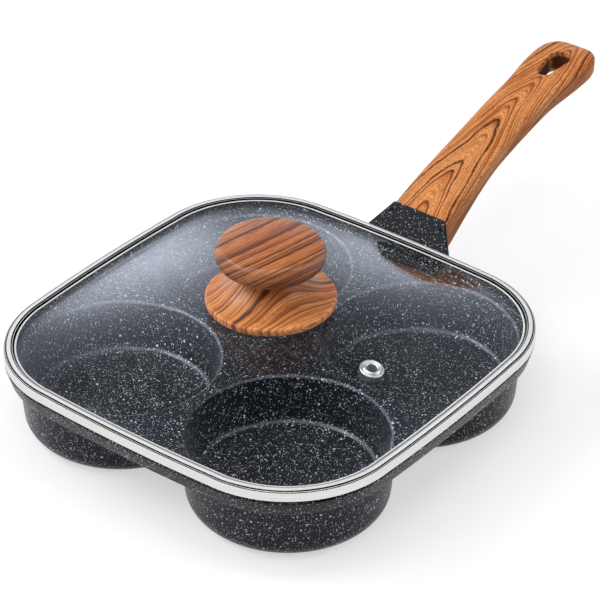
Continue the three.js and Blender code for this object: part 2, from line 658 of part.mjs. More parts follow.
function lidGlass() {
  const shares = [1, 0.92, 0.8, 0.64, 0.42, crownShare];
  const edge = -glassInset;
  const rings = [
    ...shares.map((share) => domeRing(share, glassFoot)).reverse(),
    rimRing(edge - 0.6, glassFoot),
    rimRing(edge, glassFoot + 0.6),
    rimRing(edge, glassEdgeTop - 0.6),
    rimRing(edge - 0.6, glassEdgeTop),
    ...shares.map((share) => domeRing(share, glassEdgeTop)),
  ];
  const knobHole = bar(KNOB_SCREW_RADIUS + KNOB_SCREW_CLEARANCE, glassFoot, 2 * glassCrown, SMALL_FACETS);
  const barrel = EYELET_BORE_RADIUS + EYELET_WALL + VENT_CLEARANCE;
  const ventHole = bar(barrel, -3 * GLASS_THICKNESS, 3 * GLASS_THICKNESS, SMALL_FACETS).applyMatrix4(ventAxis);
  return geometryOf(solid(lofted(rings)).subtract(solid(knobHole)).subtract(solid(ventHole)));
}

// The eyelet: a rolled flange on the glass and a barrel through it.
function ventEyelet() {
  const foot = VENT_CLEARANCE;
  const barrel = EYELET_BORE_RADIUS + EYELET_WALL;
  const tail = -GLASS_THICKNESS - VENT_WASHER_THICKNESS - EYELET_TAIL;
  const roll = EYELET_FLANGE_HEIGHT;
  const profile = [
    at(EYELET_BORE_RADIUS, tail),
    at(barrel, tail),
    at(barrel, foot),
    at(EYELET_FLANGE_RADIUS, foot),
    at(EYELET_FLANGE_RADIUS, foot + roll * 0.4),
    at(EYELET_FLANGE_RADIUS - 0.8, foot + roll * 0.9),
    at(EYELET_BORE_RADIUS + 1.2, foot + roll),
    at(EYELET_BORE_RADIUS + 0.3, foot + roll * 0.7),
    at(EYELET_BORE_RADIUS, foot + roll * 0.2),
    at(EYELET_BORE_RADIUS, tail),
  ];
  return turned(profile, SMALL_FACETS);
}

function ventWasher() {
  const bore = EYELET_BORE_RADIUS + EYELET_WALL + VENT_CLEARANCE;
  const foot = -GLASS_THICKNESS - VENT_CLEARANCE - VENT_WASHER_THICKNESS;
  return ring(bore, VENT_WASHER_RADIUS, foot, VENT_WASHER_THICKNESS, SMALL_FACETS);
}

// Heights of the knob's stack above the crown of the glass.
const gasketFoot = glassCrown + STACK_GAP;
const skirtFoot = gasketFoot + KNOB_GASKET_THICKNESS + STACK_GAP;
const knobFoot = skirtFoot + SKIRT_HEIGHT + STACK_GAP;
const knobScrewBore = KNOB_SCREW_RADIUS + KNOB_SCREW_CLEARANCE;
const insertRadius = knobScrewBore + INSERT_WALL;
const glassUnderCrown = glassCrown - GLASS_THICKNESS;
const lowerGasketFoot = glassUnderCrown - STACK_GAP - LOWER_GASKET_THICKNESS;
const knobWasherFoot = lowerGasketFoot - STACK_GAP - KNOB_WASHER_THICKNESS;
const knobScrewHeadTop = knobWasherFoot - STACK_GAP;

// The skirt: a dished disc whose top sweeps up to the neck.
function knobSkirt() {
  const sweep = SKIRT_HEIGHT - SKIRT_EDGE_HEIGHT;
  const run = SKIRT_RADIUS - 1.2 - SKIRT_NECK_RADIUS;
  const swept = [0, 0.16, 0.34, 0.54, 0.74, 0.9, 1].map((share) =>
    at(SKIRT_RADIUS - 1.2 - run * share, skirtFoot + SKIRT_EDGE_HEIGHT + sweep * share ** 1.7),
  );
  const dish = skirtFoot + SKIRT_HOLLOW_DEPTH;
  const seat = KNOB_GASKET_RADIUS + SKIRT_SEAT_MARGIN;
  const hollow = SKIRT_RADIUS - SKIRT_LIP;
  const profile = [
    at(knobScrewBore, skirtFoot),
    at(seat, skirtFoot),
    at(seat + 1, dish),
    at(hollow - 2, dish),
    at(hollow, skirtFoot - 0.6),
    at(SKIRT_RADIUS - 1, skirtFoot - 0.6),
    at(SKIRT_RADIUS, skirtFoot + 0.8),
    at(SKIRT_RADIUS, skirtFoot + SKIRT_EDGE_HEIGHT - 1),
    ...swept,
    at(knobScrewBore, skirtFoot + SKIRT_HEIGHT),
    at(knobScrewBore, skirtFoot),
  ];
  return turned(profile, KNOB_FACETS);
}

// The grip: a short neck that opens into a cushion-shaped disc, with a pocket for the insert.
function knobGrip() {
  const waist = knobFoot + KNOB_NECK_HEIGHT;
  const half = KNOB_DISC_HEIGHT / 2;
  const cushion = [-0.82, -0.55, -0.2, 0.15, 0.5, 0.78].map((share) => {
    const out = Math.sqrt(1 - share * share);
    return at(KNOB_DISC_RADIUS - half * (1 - out), waist + half * (1 + share) - half * 0.7);
  });
  const top = waist + half * 1.3;
  const pocket = insertRadius + INSERT_CLEARANCE;
  const pocketTop = knobFoot + INSERT_LENGTH + 2 * INSERT_CLEARANCE;
  const profile = [
    at(0, pocketTop),
    at(pocket, pocketTop),
    at(pocket, knobFoot),
    at(SKIRT_NECK_RADIUS, knobFoot),
    at(KNOB_NECK_RADIUS, knobFoot + 1.6),
    at(KNOB_NECK_RADIUS + 0.8, knobFoot + 3.4),
    at(KNOB_NECK_RADIUS + 4.6, knobFoot + 5.2),
    ...cushion,
    at(KNOB_DISC_RADIUS * 0.62, top + KNOB_CROWN * 0.72),
    at(KNOB_DISC_RADIUS * 0.3, top + KNOB_CROWN * 0.96),
    at(0, top + KNOB_CROWN),
  ];
  return turned(profile, KNOB_FACETS);
}

// A ribbed brass insert, moulded into the knob, with an open thread bore.
function knobInsert() {
  const foot = knobFoot + INSERT_CLEARANCE;
  const top = foot + INSERT_LENGTH;
  const groove = insertRadius - INSERT_GROOVE;
  const profile = [
    at(knobScrewBore, foot),
    at(insertRadius, foot),
    at(insertRadius, foot + INSERT_LENGTH * 0.35),
    at(groove, foot + INSERT_LENGTH * 0.42),
    at(groove, foot + INSERT_LENGTH * 0.58),
    at(insertRadius, foot + INSERT_LENGTH * 0.65),
    at(insertRadius, top),
    at(knobScrewBore, top),
    at(knobScrewBore, foot),
  ];
  return turned(profile, SMALL_FACETS);
}

// The knob screw: a domed, slotted head under the glass.
function knobScrew() {
  const head = knobScrewHeadTop - KNOB_SCREW_HEAD_HEIGHT;
  const tip = knobFoot + KNOB_SCREW_ENGAGED;
  const dome = [0.9, 0.5, 0].map((share) =>
    at(KNOB_SCREW_HEAD_RADIUS * Math.sqrt(1 - share * share), knobScrewHeadTop - 0.8 - 1.6 * share),
  );
  const profile = [
    at(0, head),
    ...dome,
    at(KNOB_SCREW_HEAD_RADIUS, knobScrewHeadTop),
    at(KNOB_SCREW_RADIUS, knobScrewHeadTop),
    at(KNOB_SCREW_RADIUS, tip - 0.5),
    at(KNOB_SCREW_RADIUS - 0.5, tip),
    at(0, tip),
  ];
  const wide = 3 * KNOB_SCREW_HEAD_RADIUS;
  const slot = new THREE.BoxGeometry(wide, KNOB_SCREW_SLOT_WIDTH, 2 * KNOB_SCREW_SLOT_DEPTH);
  slot.translate(0, 0, head);
  return geometryOf(solid(turned(profile, SMALL_FACETS)).subtract(solid(slot)));
}

const finishes = {
  coating: { color: 0x2b2f38, roughness: 0.5, metalness: 0.1 },
  wood: { color: 0xb8743f, roughness: 0.5, metalness: 0 },
  knobWood: { color: 0x8e5230, roughness: 0.45, metalness: 0 },
  steel: { color: 0xd9d8d4, roughness: 0.22, metalness: 1 },
  zinc: { color: 0xb9bcc0, roughness: 0.35, metalness: 1 },
  brass: { color: 0xc9a34a, roughness: 0.35, metalness: 1 },
  silicone: { color: 0xdfe3e2, roughness: 0.6, metalness: 0 },
  glass: { color: 0xd7e2ea, roughness: 0.03, metalness: 0, transparent: true, opacity: 0.3 },
};

function piece(name, geometry, finish) {
  const mesh = new THREE.Mesh(geometry, new THREE.MeshStandardMaterial(finishes[finish]));
  mesh.name = name;
  return mesh;
}

const group = new THREE.Group();
group.name = "breakfast_pan";

const pan = new THREE.Group();
pan.name = "pan";
const handle = new THREE.Group();
handle.name = "handle";
const screwLine = new THREE.Group();
screwLine.name = "handle_screw_line";
screwLine.applyMatrix4(screwAxis);
screwLine.add(piece("handle_screw", handleScrew(), "zinc"));
screwLine.add(piece("handle_spring_washer", springWasher(), "zinc"));
handle.add(piece("handle_guard", handleGuard(), "coating"));
handle.add(piece("handle_grip", handleGrip(), "wood"));
handle.add(screwLine);
pan.add(piece("pan_body", panBody(), "coating"), handle);

const lid = new THREE.Group();
lid.name = "lid";
lid.position.z = lidSeat;
lid.add(piece("lid_glass", lidGlass(), "glass"));
lid.add(piece("lid_band", lidBand(), "steel"));

const vent = new THREE.Group();
vent.name = "vent";
vent.applyMatrix4(ventAxis);
vent.add(piece("vent_eyelet", ventEyelet(), "steel"));
vent.add(piece("vent_washer", ventWasher(), "silicone"));

const knob = new THREE.Group();
knob.name = "knob";
const upperGasket = ring(knobScrewBore, KNOB_GASKET_RADIUS, gasketFoot, KNOB_GASKET_THICKNESS, SMALL_FACETS);
const lowerGasket = ring(
  knobScrewBore,
  LOWER_GASKET_RADIUS,
  lowerGasketFoot,
  LOWER_GASKET_THICKNESS,
  SMALL_FACETS,
);
const knobWasher = ring(knobScrewBore, KNOB_WASHER_RADIUS, knobWasherFoot, KNOB_WASHER_THICKNESS, SMALL_FACETS);
knob.add(piece("knob_gasket_upper", upperGasket, "silicone"));
knob.add(piece("knob_skirt", knobSkirt(), "knobWood"));
knob.add(piece("knob_grip", knobGrip(), "knobWood"));
knob.add(piece("knob_insert", knobInsert(), "brass"));
knob.add(piece("knob_gasket_lower", lowerGasket, "silicone"));
knob.add(piece("knob_screw_washer", knobWasher, "zinc"));
knob.add(piece("knob_screw", knobScrew(), "zinc"));
lid.add(vent, knob);

// The part's origin is the middle of its footprint, on the stove.
const assembly = new THREE.Group();
assembly.name = "assembly";
assembly.add(pan, lid);
const extent = new THREE.Box3().setFromObject(assembly);
assembly.position.y = -(extent.min.y + extent.max.y) / 2;
group.add(assembly);

export default group;
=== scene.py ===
"""Looks of the four-section breakfast pan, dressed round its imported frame.

Metres, +Z up. The pan stands on z = 0 and its handle runs out along +Y.
"""

import logging
import math
from collections.abc import Callable, Sequence
from dataclasses import dataclass
from enum import Enum
from itertools import pairwise

import bmesh
import bpy
from mathutils import Matrix, Vector


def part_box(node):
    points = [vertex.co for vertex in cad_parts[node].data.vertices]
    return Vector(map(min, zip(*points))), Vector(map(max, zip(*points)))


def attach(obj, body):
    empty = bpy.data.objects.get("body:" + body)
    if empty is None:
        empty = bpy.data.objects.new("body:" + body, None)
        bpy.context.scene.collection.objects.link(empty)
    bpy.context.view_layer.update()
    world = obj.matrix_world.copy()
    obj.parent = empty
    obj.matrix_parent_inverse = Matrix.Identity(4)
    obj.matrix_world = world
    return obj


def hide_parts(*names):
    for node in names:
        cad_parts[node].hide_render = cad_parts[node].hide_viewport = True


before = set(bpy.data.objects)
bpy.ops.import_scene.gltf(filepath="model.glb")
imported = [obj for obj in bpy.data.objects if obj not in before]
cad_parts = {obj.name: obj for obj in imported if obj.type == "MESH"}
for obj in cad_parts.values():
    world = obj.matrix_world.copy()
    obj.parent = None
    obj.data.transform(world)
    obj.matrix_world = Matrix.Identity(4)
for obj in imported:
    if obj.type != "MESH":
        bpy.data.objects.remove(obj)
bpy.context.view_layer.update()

LOG = logging.getLogger("breakfast_pan")
MM = 0.001
FULL_TURN = 2 * math.pi
SQUARE = math.pi / 2
WELD = 4e-6
SAME_PLACE = 2e-6
ROUND_STEPS = 128
SHARP_DEGREES = 40.0

Point = tuple[float, float]
Colour = tuple[float, float, float, float]
Piece = bpy.types.Object
Material = bpy.types.Material


def tint(red: int, green: int, blue: int) -> Colour:
    """Turns a screen colour into the linear one that a shader takes.

    Args:
        red: Red of the screen colour, 0 to 255.
        green: Green of the screen colour, 0 to 255.
        blue: Blue of the screen colour, 0 to 255.

    Returns:
        The linear colour with full alpha.
    """
    linear = []
    for channel in (red, green, blue):
        share = channel / 255
        linear.append(share / 12.92 if share <= 0.04045 else ((share + 0.055) / 1.055) ** 2.4)
    return (linear[0], linear[1], linear[2], 1.0)


def arc(x: float, z: float, radius: float, start: float, end: float, steps: int) -> list[Point]:
    """Gives points of a circular arc in a profile.

    Args:
        x: Radius or offset of the arc's centre.
        z: Height of the arc's centre.
        radius: Radius of the arc.
        start: Angle of the first point, in radians.
        end: Angle of the last point, in radians.
        steps: Number of steps between them.

    Returns:
        The points, both ends included.
    """
    turns = [start + (end - start) * i / steps for i in range(steps + 1)]
    return [(x + radius * math.cos(a), z + radius * math.sin(a)) for a in turns]


def eased(share: float) -> float:
    """Gives a smooth step from 0 to 1 over a share of 0 to 1."""
    t = min(1.0, max(0.0, share))
    return t * t * (3 - 2 * t)


class Pick(Enum):
    """What a selection in edit mode is made of."""

    POINTS = "VERT"
    EDGES = "EDGE"
    FACES = "FACE"


class Body(Enum):
    """The two bodies that pieces ride on."""

    PAN = "pan"
    LID = "lid"


class Bench:
    """Moves in edit mode that every sub-assembly shares."""

    @staticmethod
    def clear() -> None:
        """Leaves edit mode and deselects everything."""
        if bpy.context.mode != "OBJECT":
            bpy.ops.object.mode_set(mode="OBJECT")
        bpy.ops.object.select_all(action="DESELECT")

    @staticmethod
    def hold(piece: Piece) -> None:
        """Makes a piece the only selected one, in object mode."""
        Bench.clear()
        piece.select_set(True)
        bpy.context.view_layer.objects.active = piece

    @staticmethod
    def open(name: str) -> Piece:
        """Opens the newest primitive in edit mode with its place in its mesh.

        Args:
            name: Name for the object and its mesh.

        Returns:
            The object, with all its points selected.
        """
        piece = bpy.context.object
        piece.name = piece.data.name = name
        bpy.ops.object.transform_apply(location=True, rotation=True, scale=True)
        Bench.edit(piece)
        Bench.pick_all()
        return piece

    @staticmethod
    def edit(piece: Piece) -> None:
        """Enters edit mode on a piece."""
        Bench.hold(piece)
        bpy.ops.object.mode_set(mode="EDIT")
        bpy.ops.mesh.select_mode(type="VERT")

    @staticmethod
    def pick(piece: Piece, kind: Pick, test: Callable[[Vector], bool]) -> None:
        """Selects only what has all its points in the wanted place.

        Args:
            piece: Object that is open in edit mode.
            kind: Whether points, edges or faces are selected.
            test: Says whether a point is in the wanted place.
        """
        bpy.ops.mesh.select_mode(type=kind.value)
        bpy.ops.mesh.select_all(action="DESELECT")
        mesh = bmesh.from_edit_mesh(piece.data)
        items = {Pick.POINTS: mesh.verts, Pick.EDGES: mesh.edges, Pick.FACES: mesh.faces}[kind]
        for item in items:
            corners = [item] if kind is Pick.POINTS else item.verts
            if all(test(corner.co) for corner in corners):
                item.select_set(True)
        mesh.select_flush_mode()
        bmesh.update_edit_mesh(piece.data)

    @staticmethod
    def pick_spot(piece: Piece, spot: Vector) -> None:
        """Selects only the point at one spot."""
        Bench.pick(piece, Pick.POINTS, lambda point: (point - spot).length < 20 * SAME_PLACE)

    @staticmethod
    def pick_level(piece: Piece, kind: Pick, height: float) -> None:
        """Selects only the edges or faces that lie flat at one height."""
        Bench.pick(piece, kind, lambda point: abs(point.z - height) < SAME_PLACE)

    @staticmethod
    def pick_all() -> None:
        """Selects the whole of the open piece, in the mode that is set."""
        bpy.ops.mesh.select_all(action="SELECT")

    @staticmethod
    def pick_faces() -> None:
        """Selects every face of the open piece."""
        bpy.ops.mesh.select_mode(type="FACE")
        Bench.pick_all()

    @staticmethod
    def move(shift: Sequence[float]) -> None:
        """Moves what is selected by a shift."""
        bpy.ops.transform.translate(value=shift)

    @staticmethod
    def pull(shift: Sequence[float]) -> None:
        """Extrudes what is selected by a shift."""
        bpy.ops.mesh.extrude_region_move(TRANSFORM_OT_translate={"value": tuple(shift)})

    @staticmethod
    def scale(factors: Sequence[float], centre: Sequence[float]) -> None:
        """Scales what is selected about a centre."""
        bpy.ops.transform.resize(value=tuple(factors), center_override=tuple(centre))

    @staticmethod
    def close_seams() -> None:
        """Merges doubled points and turns all faces outwards."""
        Bench.pick_all()
        bpy.ops.mesh.remove_doubles(threshold=WELD)
        bpy.ops.mesh.normals_make_consistent(inside=False)

    @staticmethod
    def lathe(name: str, profile: Sequence[Point], x: float, y: float, steps: int = ROUND_STEPS) -> Piece:
        """Turns a profile round an upright axis.

        Args:
            name: Name of the new object.
            profile: Radius and height of each point, in metres.
            x: Place of the axis across the pan.
            y: Place of the axis along the handle.
            steps: Facets in the full turn.

        Returns:
            The turned object, still open in edit mode.
        """
        Bench.clear()
        first = profile[0]
        bpy.ops.mesh.primitive_plane_add(size=MM, location=(x + first[0], y, first[1]))
        piece = Bench.open(name)
        bpy.ops.mesh.merge(type="CENTER")
        for before, after in pairwise(profile):
            Bench.pull((after[0] - before[0], 0, after[1] - before[1]))
        Bench.pick_all()
        bpy.ops.mesh.spin(steps=steps, angle=FULL_TURN, center=(x, y, 0), axis=(0, 0, 1))
        Bench.close_seams()
        return piece

    @staticmethod
    def section(
        name: str, y: float, half: float, top: float, foot: float, rounds: Point, steps: int = 8
    ) -> Piece:
        """Lays a rounded box section across Y down as a flat face.

        Args:
            name: Name of the new object.
            y: Place along Y.
            half: Half of its width.
            top: Height of its top.
            foot: Height of its foot.
            rounds: Radius of the upper corners and of the lower ones.
            steps: Facets in each corner.

        Returns:
            The object, open in edit mode, with its face selected.
        """
        Bench.clear()
        middle = (top + foot) / 2
        bpy.ops.mesh.primitive_plane_add(size=1, location=(0, y, middle), rotation=(SQUARE, 0, 0))
        bpy.context.object.scale = (2 * half, top - foot, 1)
        piece = Bench.open(name)
        for height, radius in zip((top, foot), rounds, strict=True):
            for x in (half, -half):
                Bench.pick_spot(piece, Vector((x, y, height)))
                bpy.ops.mesh.bevel(offset=radius, segments=steps, affect="VERTICES", profile=0.5)
        Bench.pick_faces()
        return piece

    @staticmethod
    def modify(piece: Piece, kind: str, **settings: object) -> None:
        """Adds one modifier to a piece and applies it.

        Args:
            piece: Object that gets the modifier.
            kind: Blender's name of the modifier.
            **settings: Values of its properties.
        """
        Bench.hold(piece)
        modifier = piece.modifiers.new(kind.lower(), kind)
        for key, value in settings.items():
            setattr(modifier, key, value)
        bpy.ops.object.modifier_apply(modifier=modifier.name)

    @staticmethod
    def join(keeper: Piece, others: Sequence[Piece]) -> None:
        """Joins other objects into one that keeps its name."""
        Bench.hold(keeper)
        for other in others:
            other.select_set(True)
        bpy.ops.object.join()

    @staticmethod
    def bar(name: str, radius: float, length: float, place: Matrix) -> Piece:
        """Makes a round bar to cut with.

        Args:
            name: Name of the new object.
            radius: Its radius.
            length: Its length, half of it on each side of its place.
            place: Frame of its middle, with Z along the bar.

        Returns:
            The bar, in object mode.
        """
        Bench.clear()
        bpy.ops.mesh.primitive_cylinder_add(vertices=48, radius=radius, depth=length)
        made = Bench.open(name)
        Bench.clear()
        made.data.transform(place)
        return made

    @staticmethod
    def cut(piece: Piece, cutter: Piece) -> None:
        """Cuts a closed shape out of a piece and removes the cutter."""
        Bench.modify(piece, "BOOLEAN", object=cutter, operation="DIFFERENCE", solver="EXACT")
        bpy.data.objects.remove(cutter, do_unlink=True)

    @staticmethod
    def smooth(piece: Piece, degrees: float = SHARP_DEGREES) -> None:
        """Shades a piece smooth, with its flats kept flat and its corners kept sharp."""
        Bench.hold(piece)
        bpy.ops.object.shade_smooth_by_angle(angle=math.radians(degrees))
        Bench.modify(piece, "WEIGHTED_NORMAL", keep_sharp=True, weight=60)

    @staticmethod
    def place(piece: Piece, body: Body, nodes: Sequence[str], slot: str, finish: Material) -> None:
        """Hands a finished piece to the frame and dresses it.

        Args:
            piece: The finished object.
            body: Body that it rides on.
            nodes: Nodes that it stands for.
            slot: Material slot of the record; not used.
            finish: Its material.
        """
        Bench.clear()
        piece.data.materials.clear()
        piece.data.materials.append(finish)
        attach(piece, body.value)
        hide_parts(*nodes)
        LOG.info("%s: %d faces, rides on %s", piece.name, len(piece.data.polygons), body.value)


@dataclass(frozen=True)
class RimPlan:
    """The rounded square that the rim, the band and the glass share."""

    centre_y: float
    half_width: float = 94.2 * MM
    corner_radius: float = 49.5 * MM
    side_radius: float = 900.0 * MM
    corner_steps: int = 26
    side_cuts: int = 9

    def corner_centre(self) -> float:
        """Gives how far out the corner arcs' centres lie, along both axes."""
        reach = (self.side_radius - self.half_width) / (self.side_radius - self.corner_radius)
        spread = math.acos(reach / math.sqrt(2)) - math.pi / 4
        return (self.side_radius - self.corner_radius) * math.sin(spread)

    def bow(self, across: float) -> float:
        """Gives how far a side stands out past its corner arcs, at a place along it."""
        crest = self.half_width - self.side_radius + math.sqrt(self.side_radius**2 - across**2)
        return crest - self.corner_centre() - self.corner_radius

    def start(self, name: str, offset: float, height: float) -> Piece:
        """Lays the plan down as one flat face.

        Args:
            name: Name of the new object.
            offset: How far outside the rim the outline lies.
            height: Height of the face.

        Returns:
            The object, open in edit mode, with its face selected and facing up.
        """
        Bench.clear()
        radius = self.corner_radius + offset
        reach = self.corner_centre() + radius
        middle = Vector((0, self.centre_y, height))
        bpy.ops.mesh.primitive_plane_add(size=2 * reach, location=middle)
        piece = Bench.open(name)
        bpy.ops.mesh.bevel(offset=radius, segments=self.corner_steps, affect="VERTICES", profile=0.5)
        Bench.pick_all()
        bpy.ops.mesh.delete(type="ONLY_FACE")
        half = self.corner_centre() + SAME_PLACE

        def on_side(point: Vector) -> bool:
            """Says whether a point lies on one of the four straight sides."""
            x, y = abs(point.x), abs(point.y - self.centre_y)
            return (abs(x - reach) < SAME_PLACE and y < half) or (abs(y - reach) < SAME_PLACE and x < half)

        Bench.pick(piece, Pick.EDGES, on_side)
        bpy.ops.mesh.subdivide(number_cuts=self.side_cuts)
        for facing in range(4):
            out = Vector((math.cos(facing * SQUARE), math.sin(facing * SQUARE), 0))
            along = Vector((-out.y, out.x, 0))
            for step in range(1, self.side_cuts + 1):
                across = (2 * step / (self.side_cuts + 1) - 1) * self.corner_centre()
                Bench.pick_spot(piece, middle + out * reach + along * across)
                Bench.move(out * self.bow(across))
        Bench.pick_all()
        bpy.ops.mesh.edge_face_add()
        face = bmesh.from_edit_mesh(piece.data).faces[:][0]
        face.normal_update()
        if face.normal.z < 0:
            bpy.ops.mesh.flip_normals()
        Bench.pick_faces()
        return piece

    def follow(self, path: Sequence[Point], facing: int = 1) -> None:
        """Draws the selected face along a section, as rings of new faces.

        Args:
            path: Offset and height of each ring. The first is where the face is now.
            facing: 1 for a face that looks up, -1 for one that looks down.
        """
        for (offset, height), (next_offset, next_height) in pairwise(path):
            inwards, climb = offset - next_offset, next_height - height
            if inwards > SAME_PLACE:
                bpy.ops.mesh.inset(thickness=inwards, depth=climb * facing, use_even_offset=True)
                continue
            Bench.pull((0, 0, climb))
            if inwards < -SAME_PLACE:
                grow = (self.half_width + next_offset) / (self.half_width + offset)
                Bench.scale((grow, grow, 1), (0, self.centre_y, next_height))


class Wire:
    """A value on a sheet of nodes, which sums like a number."""

    def __init__(self, sheet: "NodeSheet", socket: bpy.types.NodeSocket) -> None:
        """Takes one output socket of a node on the sheet."""
        self.sheet = sheet
        self.socket = socket

    def of(self, operation: str, *others: "Wire | float") -> "Wire":
        """Gives a function of this value.

        Args:
            operation: Blender's name of the function.
            *others: Further values that it takes.

        Returns:
            The result.
        """
        return self.sheet.math(operation, self, *others)

    def __add__(self, other: "Wire | float") -> "Wire":
        """Adds another value."""
        return self.of("ADD", other)

    def __sub__(self, other: "Wire | float") -> "Wire":
        """Takes another value away."""
        return self.of("SUBTRACT", other)

    def __rsub__(self, other: float) -> "Wire":
        """Takes this value away from a number."""
        return self.sheet.math("SUBTRACT", other, self)

    def __mul__(self, other: "Wire | float") -> "Wire":
        """Multiplies by another value."""
        return self.of("MULTIPLY", other)

    def __truediv__(self, other: "Wire | float") -> "Wire":
        """Divides by another value."""
        return self.of("DIVIDE", other)

    def __pow__(self, other: float) -> "Wire":
        """Raises this value to a power."""
        return self.of("POWER", other)

    def larger(self, other: "Wire | float") -> "Wire":
        """Gives the larger of two values."""
        return self.of("MAXIMUM", other)

    def smaller(self, other: "Wire | float") -> "Wire":
        """Gives the smaller of two values."""
        return self.of("MINIMUM", other)

    def span(self, low: float, high: float, start: "Wire | float" = 0.0, end: "Wire | float" = 1.0) -> "Wire":
        """Maps this value from one span to another, smoothly and within its ends.

        Args:
            low: Start of the span it comes from.
            high: End of that span.
            start: Start of the span it goes to.
            end: End of that span.

        Returns:
            The mapped value.
        """
        inputs = {"Value": self, "From Min": low, "From Max": high, "To Min": start, "To Max": end}
        return self.sheet.wire(self.sheet.node("ShaderNodeMapRange", inputs, interpolation_type="SMOOTHSTEP"))

    def noise(self, scale: float, detail: float = 2.0, roughness: float = 0.5, output: int = 0) -> "Wire":
        """Gives the noise at this vector.

        Args:
            scale: Fineness of the noise.
            detail: How many finer layers it has.
            roughness: Share of each finer layer.
            output: 0 for a value, 1 for a colour.

        Returns:
            The noise.
        """
        inputs = {"Vector": self, "Scale": scale, "Detail": detail, "Roughness": roughness}
        return self.sheet.wire(self.sheet.node("ShaderNodeTexNoise", inputs), output)

    def luck(self) -> "Wire":
        """Gives a random number for this whole number."""
        made = self.sheet.node("ShaderNodeTexWhiteNoise", {"W": self}, noise_dimensions="1D")
        return self.sheet.wire(made)

    def stretch(self, factors: Sequence[float]) -> "Wire":
        """Multiplies this vector by three factors."""
        inputs = {0: self, 1: tuple(factors)}
        return self.sheet.wire(self.sheet.node("ShaderNodeVectorMath", inputs, operation="MULTIPLY"))

    def split(self) -> list["Wire"]:
        """Gives the three parts of this vector."""
        parts = self.sheet.node("ShaderNodeSeparateXYZ", {0: self})
        return [self.sheet.wire(parts, place) for place in range(3)]


class NodeSheet:
    """A short way to lay nodes and links in one node tree."""

    def __init__(self, tree: bpy.types.NodeTree) -> None:
        """Starts on a tree, which keeps whatever nodes it has."""
        self.tree = tree

    def node(
        self, kind: str, inputs: dict[str | int, object] | None = None, **settings: object
    ) -> bpy.types.Node:
        """Adds one node.

        Args:
            kind: Blender's name of the node type.
            inputs: Values or wires for its inputs, by name or place.
            **settings: Values of the node's own properties.

        Returns:
            The new node.
        """
        made = self.tree.nodes.new(kind)
        for key, value in settings.items():
            setattr(made, key, value)
        for key, value in (inputs or {}).items():
            self.feed(made.inputs[key], value)
        return made

    def wire(self, node: bpy.types.Node, output: str | int = 0) -> Wire:
        """Gives one output of a node."""
        return Wire(self, node.outputs[output])

    def feed(self, socket: bpy.types.NodeSocket, value: object) -> None:
        """Links a wire to a socket, or sets the socket's value."""
        if isinstance(value, Wire):
            self.tree.links.new(value.socket, socket)
        else:
            socket.default_value = value

    def math(self, operation: str, *values: Wire | float) -> Wire:
        """Adds one sum and gives its result."""
        return self.wire(self.node("ShaderNodeMath", dict(enumerate(values)), operation=operation))

    def mix(self, factor: Wire, first: Wire | Colour, second: Wire | Colour) -> Wire:
        """Mixes two colours and gives the result."""
        inputs = {0: factor, 6: first, 7: second}
        return self.wire(self.node("ShaderNodeMix", inputs, data_type="RGBA", clamp_factor=True), 2)

    def millimetres(self, centre: Sequence[float] = (0, 0, 0), turn: Sequence[float] = (0, 0, 0)) -> Wire:
        """Gives the piece's own coordinates in millimetres from a centre, turned about it.

        Args:
            centre: Where the pattern has its middle, in metres.
            turn: Angles of the pattern about X, Y and Z.

        Returns:
            The vector.
        """
        place = self.wire(self.node("ShaderNodeTexCoord"), "Object")
        inputs = {"Vector": place, "Location": tuple(centre), "Rotation": tuple(turn), "Scale": (MM, MM, MM)}
        return self.wire(self.node("ShaderNodeMapping", inputs, vector_type="TEXTURE"))


class Group:
    """A shader node group that gives a colour, a roughness and a height."""

    OUTPUTS = {"Color": "NodeSocketColor", "Roughness": "NodeSocketFloat", "Height": "NodeSocketFloat"}

    def __init__(self, name: str, inputs: dict[str, object]) -> None:
        """Makes an empty group.

        Args:
            name: Name of the group.
            inputs: Default value of each input. None stands for a vector.
        """
        self.tree = bpy.data.node_groups.new(name, "ShaderNodeTree")
        for key, value in inputs.items():
            kind = "NodeSocketVector" if value is None else "NodeSocketColor"
            kind = "NodeSocketFloat" if isinstance(value, float) else kind
            socket = self.tree.interface.new_socket(name=key, in_out="INPUT", socket_type=kind)
            if value is not None:
                socket.default_value = value
        for key, kind in self.OUTPUTS.items():
            self.tree.interface.new_socket(name=key, in_out="OUTPUT", socket_type=kind)
        self.sheet = NodeSheet(self.tree)
        source = self.sheet.node("NodeGroupInput")
        self.given = {key: self.sheet.wire(source, key) for key in inputs}

    def close(self, color: Wire, roughness: Wire, height: Wire) -> "Group":
        """Feeds the outputs and gives the finished group."""
        self.sheet.node("NodeGroupOutput", {"Color": color, "Roughness": roughness, "Height": height})
        return self

    def use(self, sheet: NodeSheet, inputs: dict[str, object]) -> dict[str, Wire]:
        """Places the group in a material and gives its outputs."""
        made = sheet.node("ShaderNodeGroup", inputs, node_tree=self.tree)
        return {key: sheet.wire(made, key) for key in self.OUTPUTS}


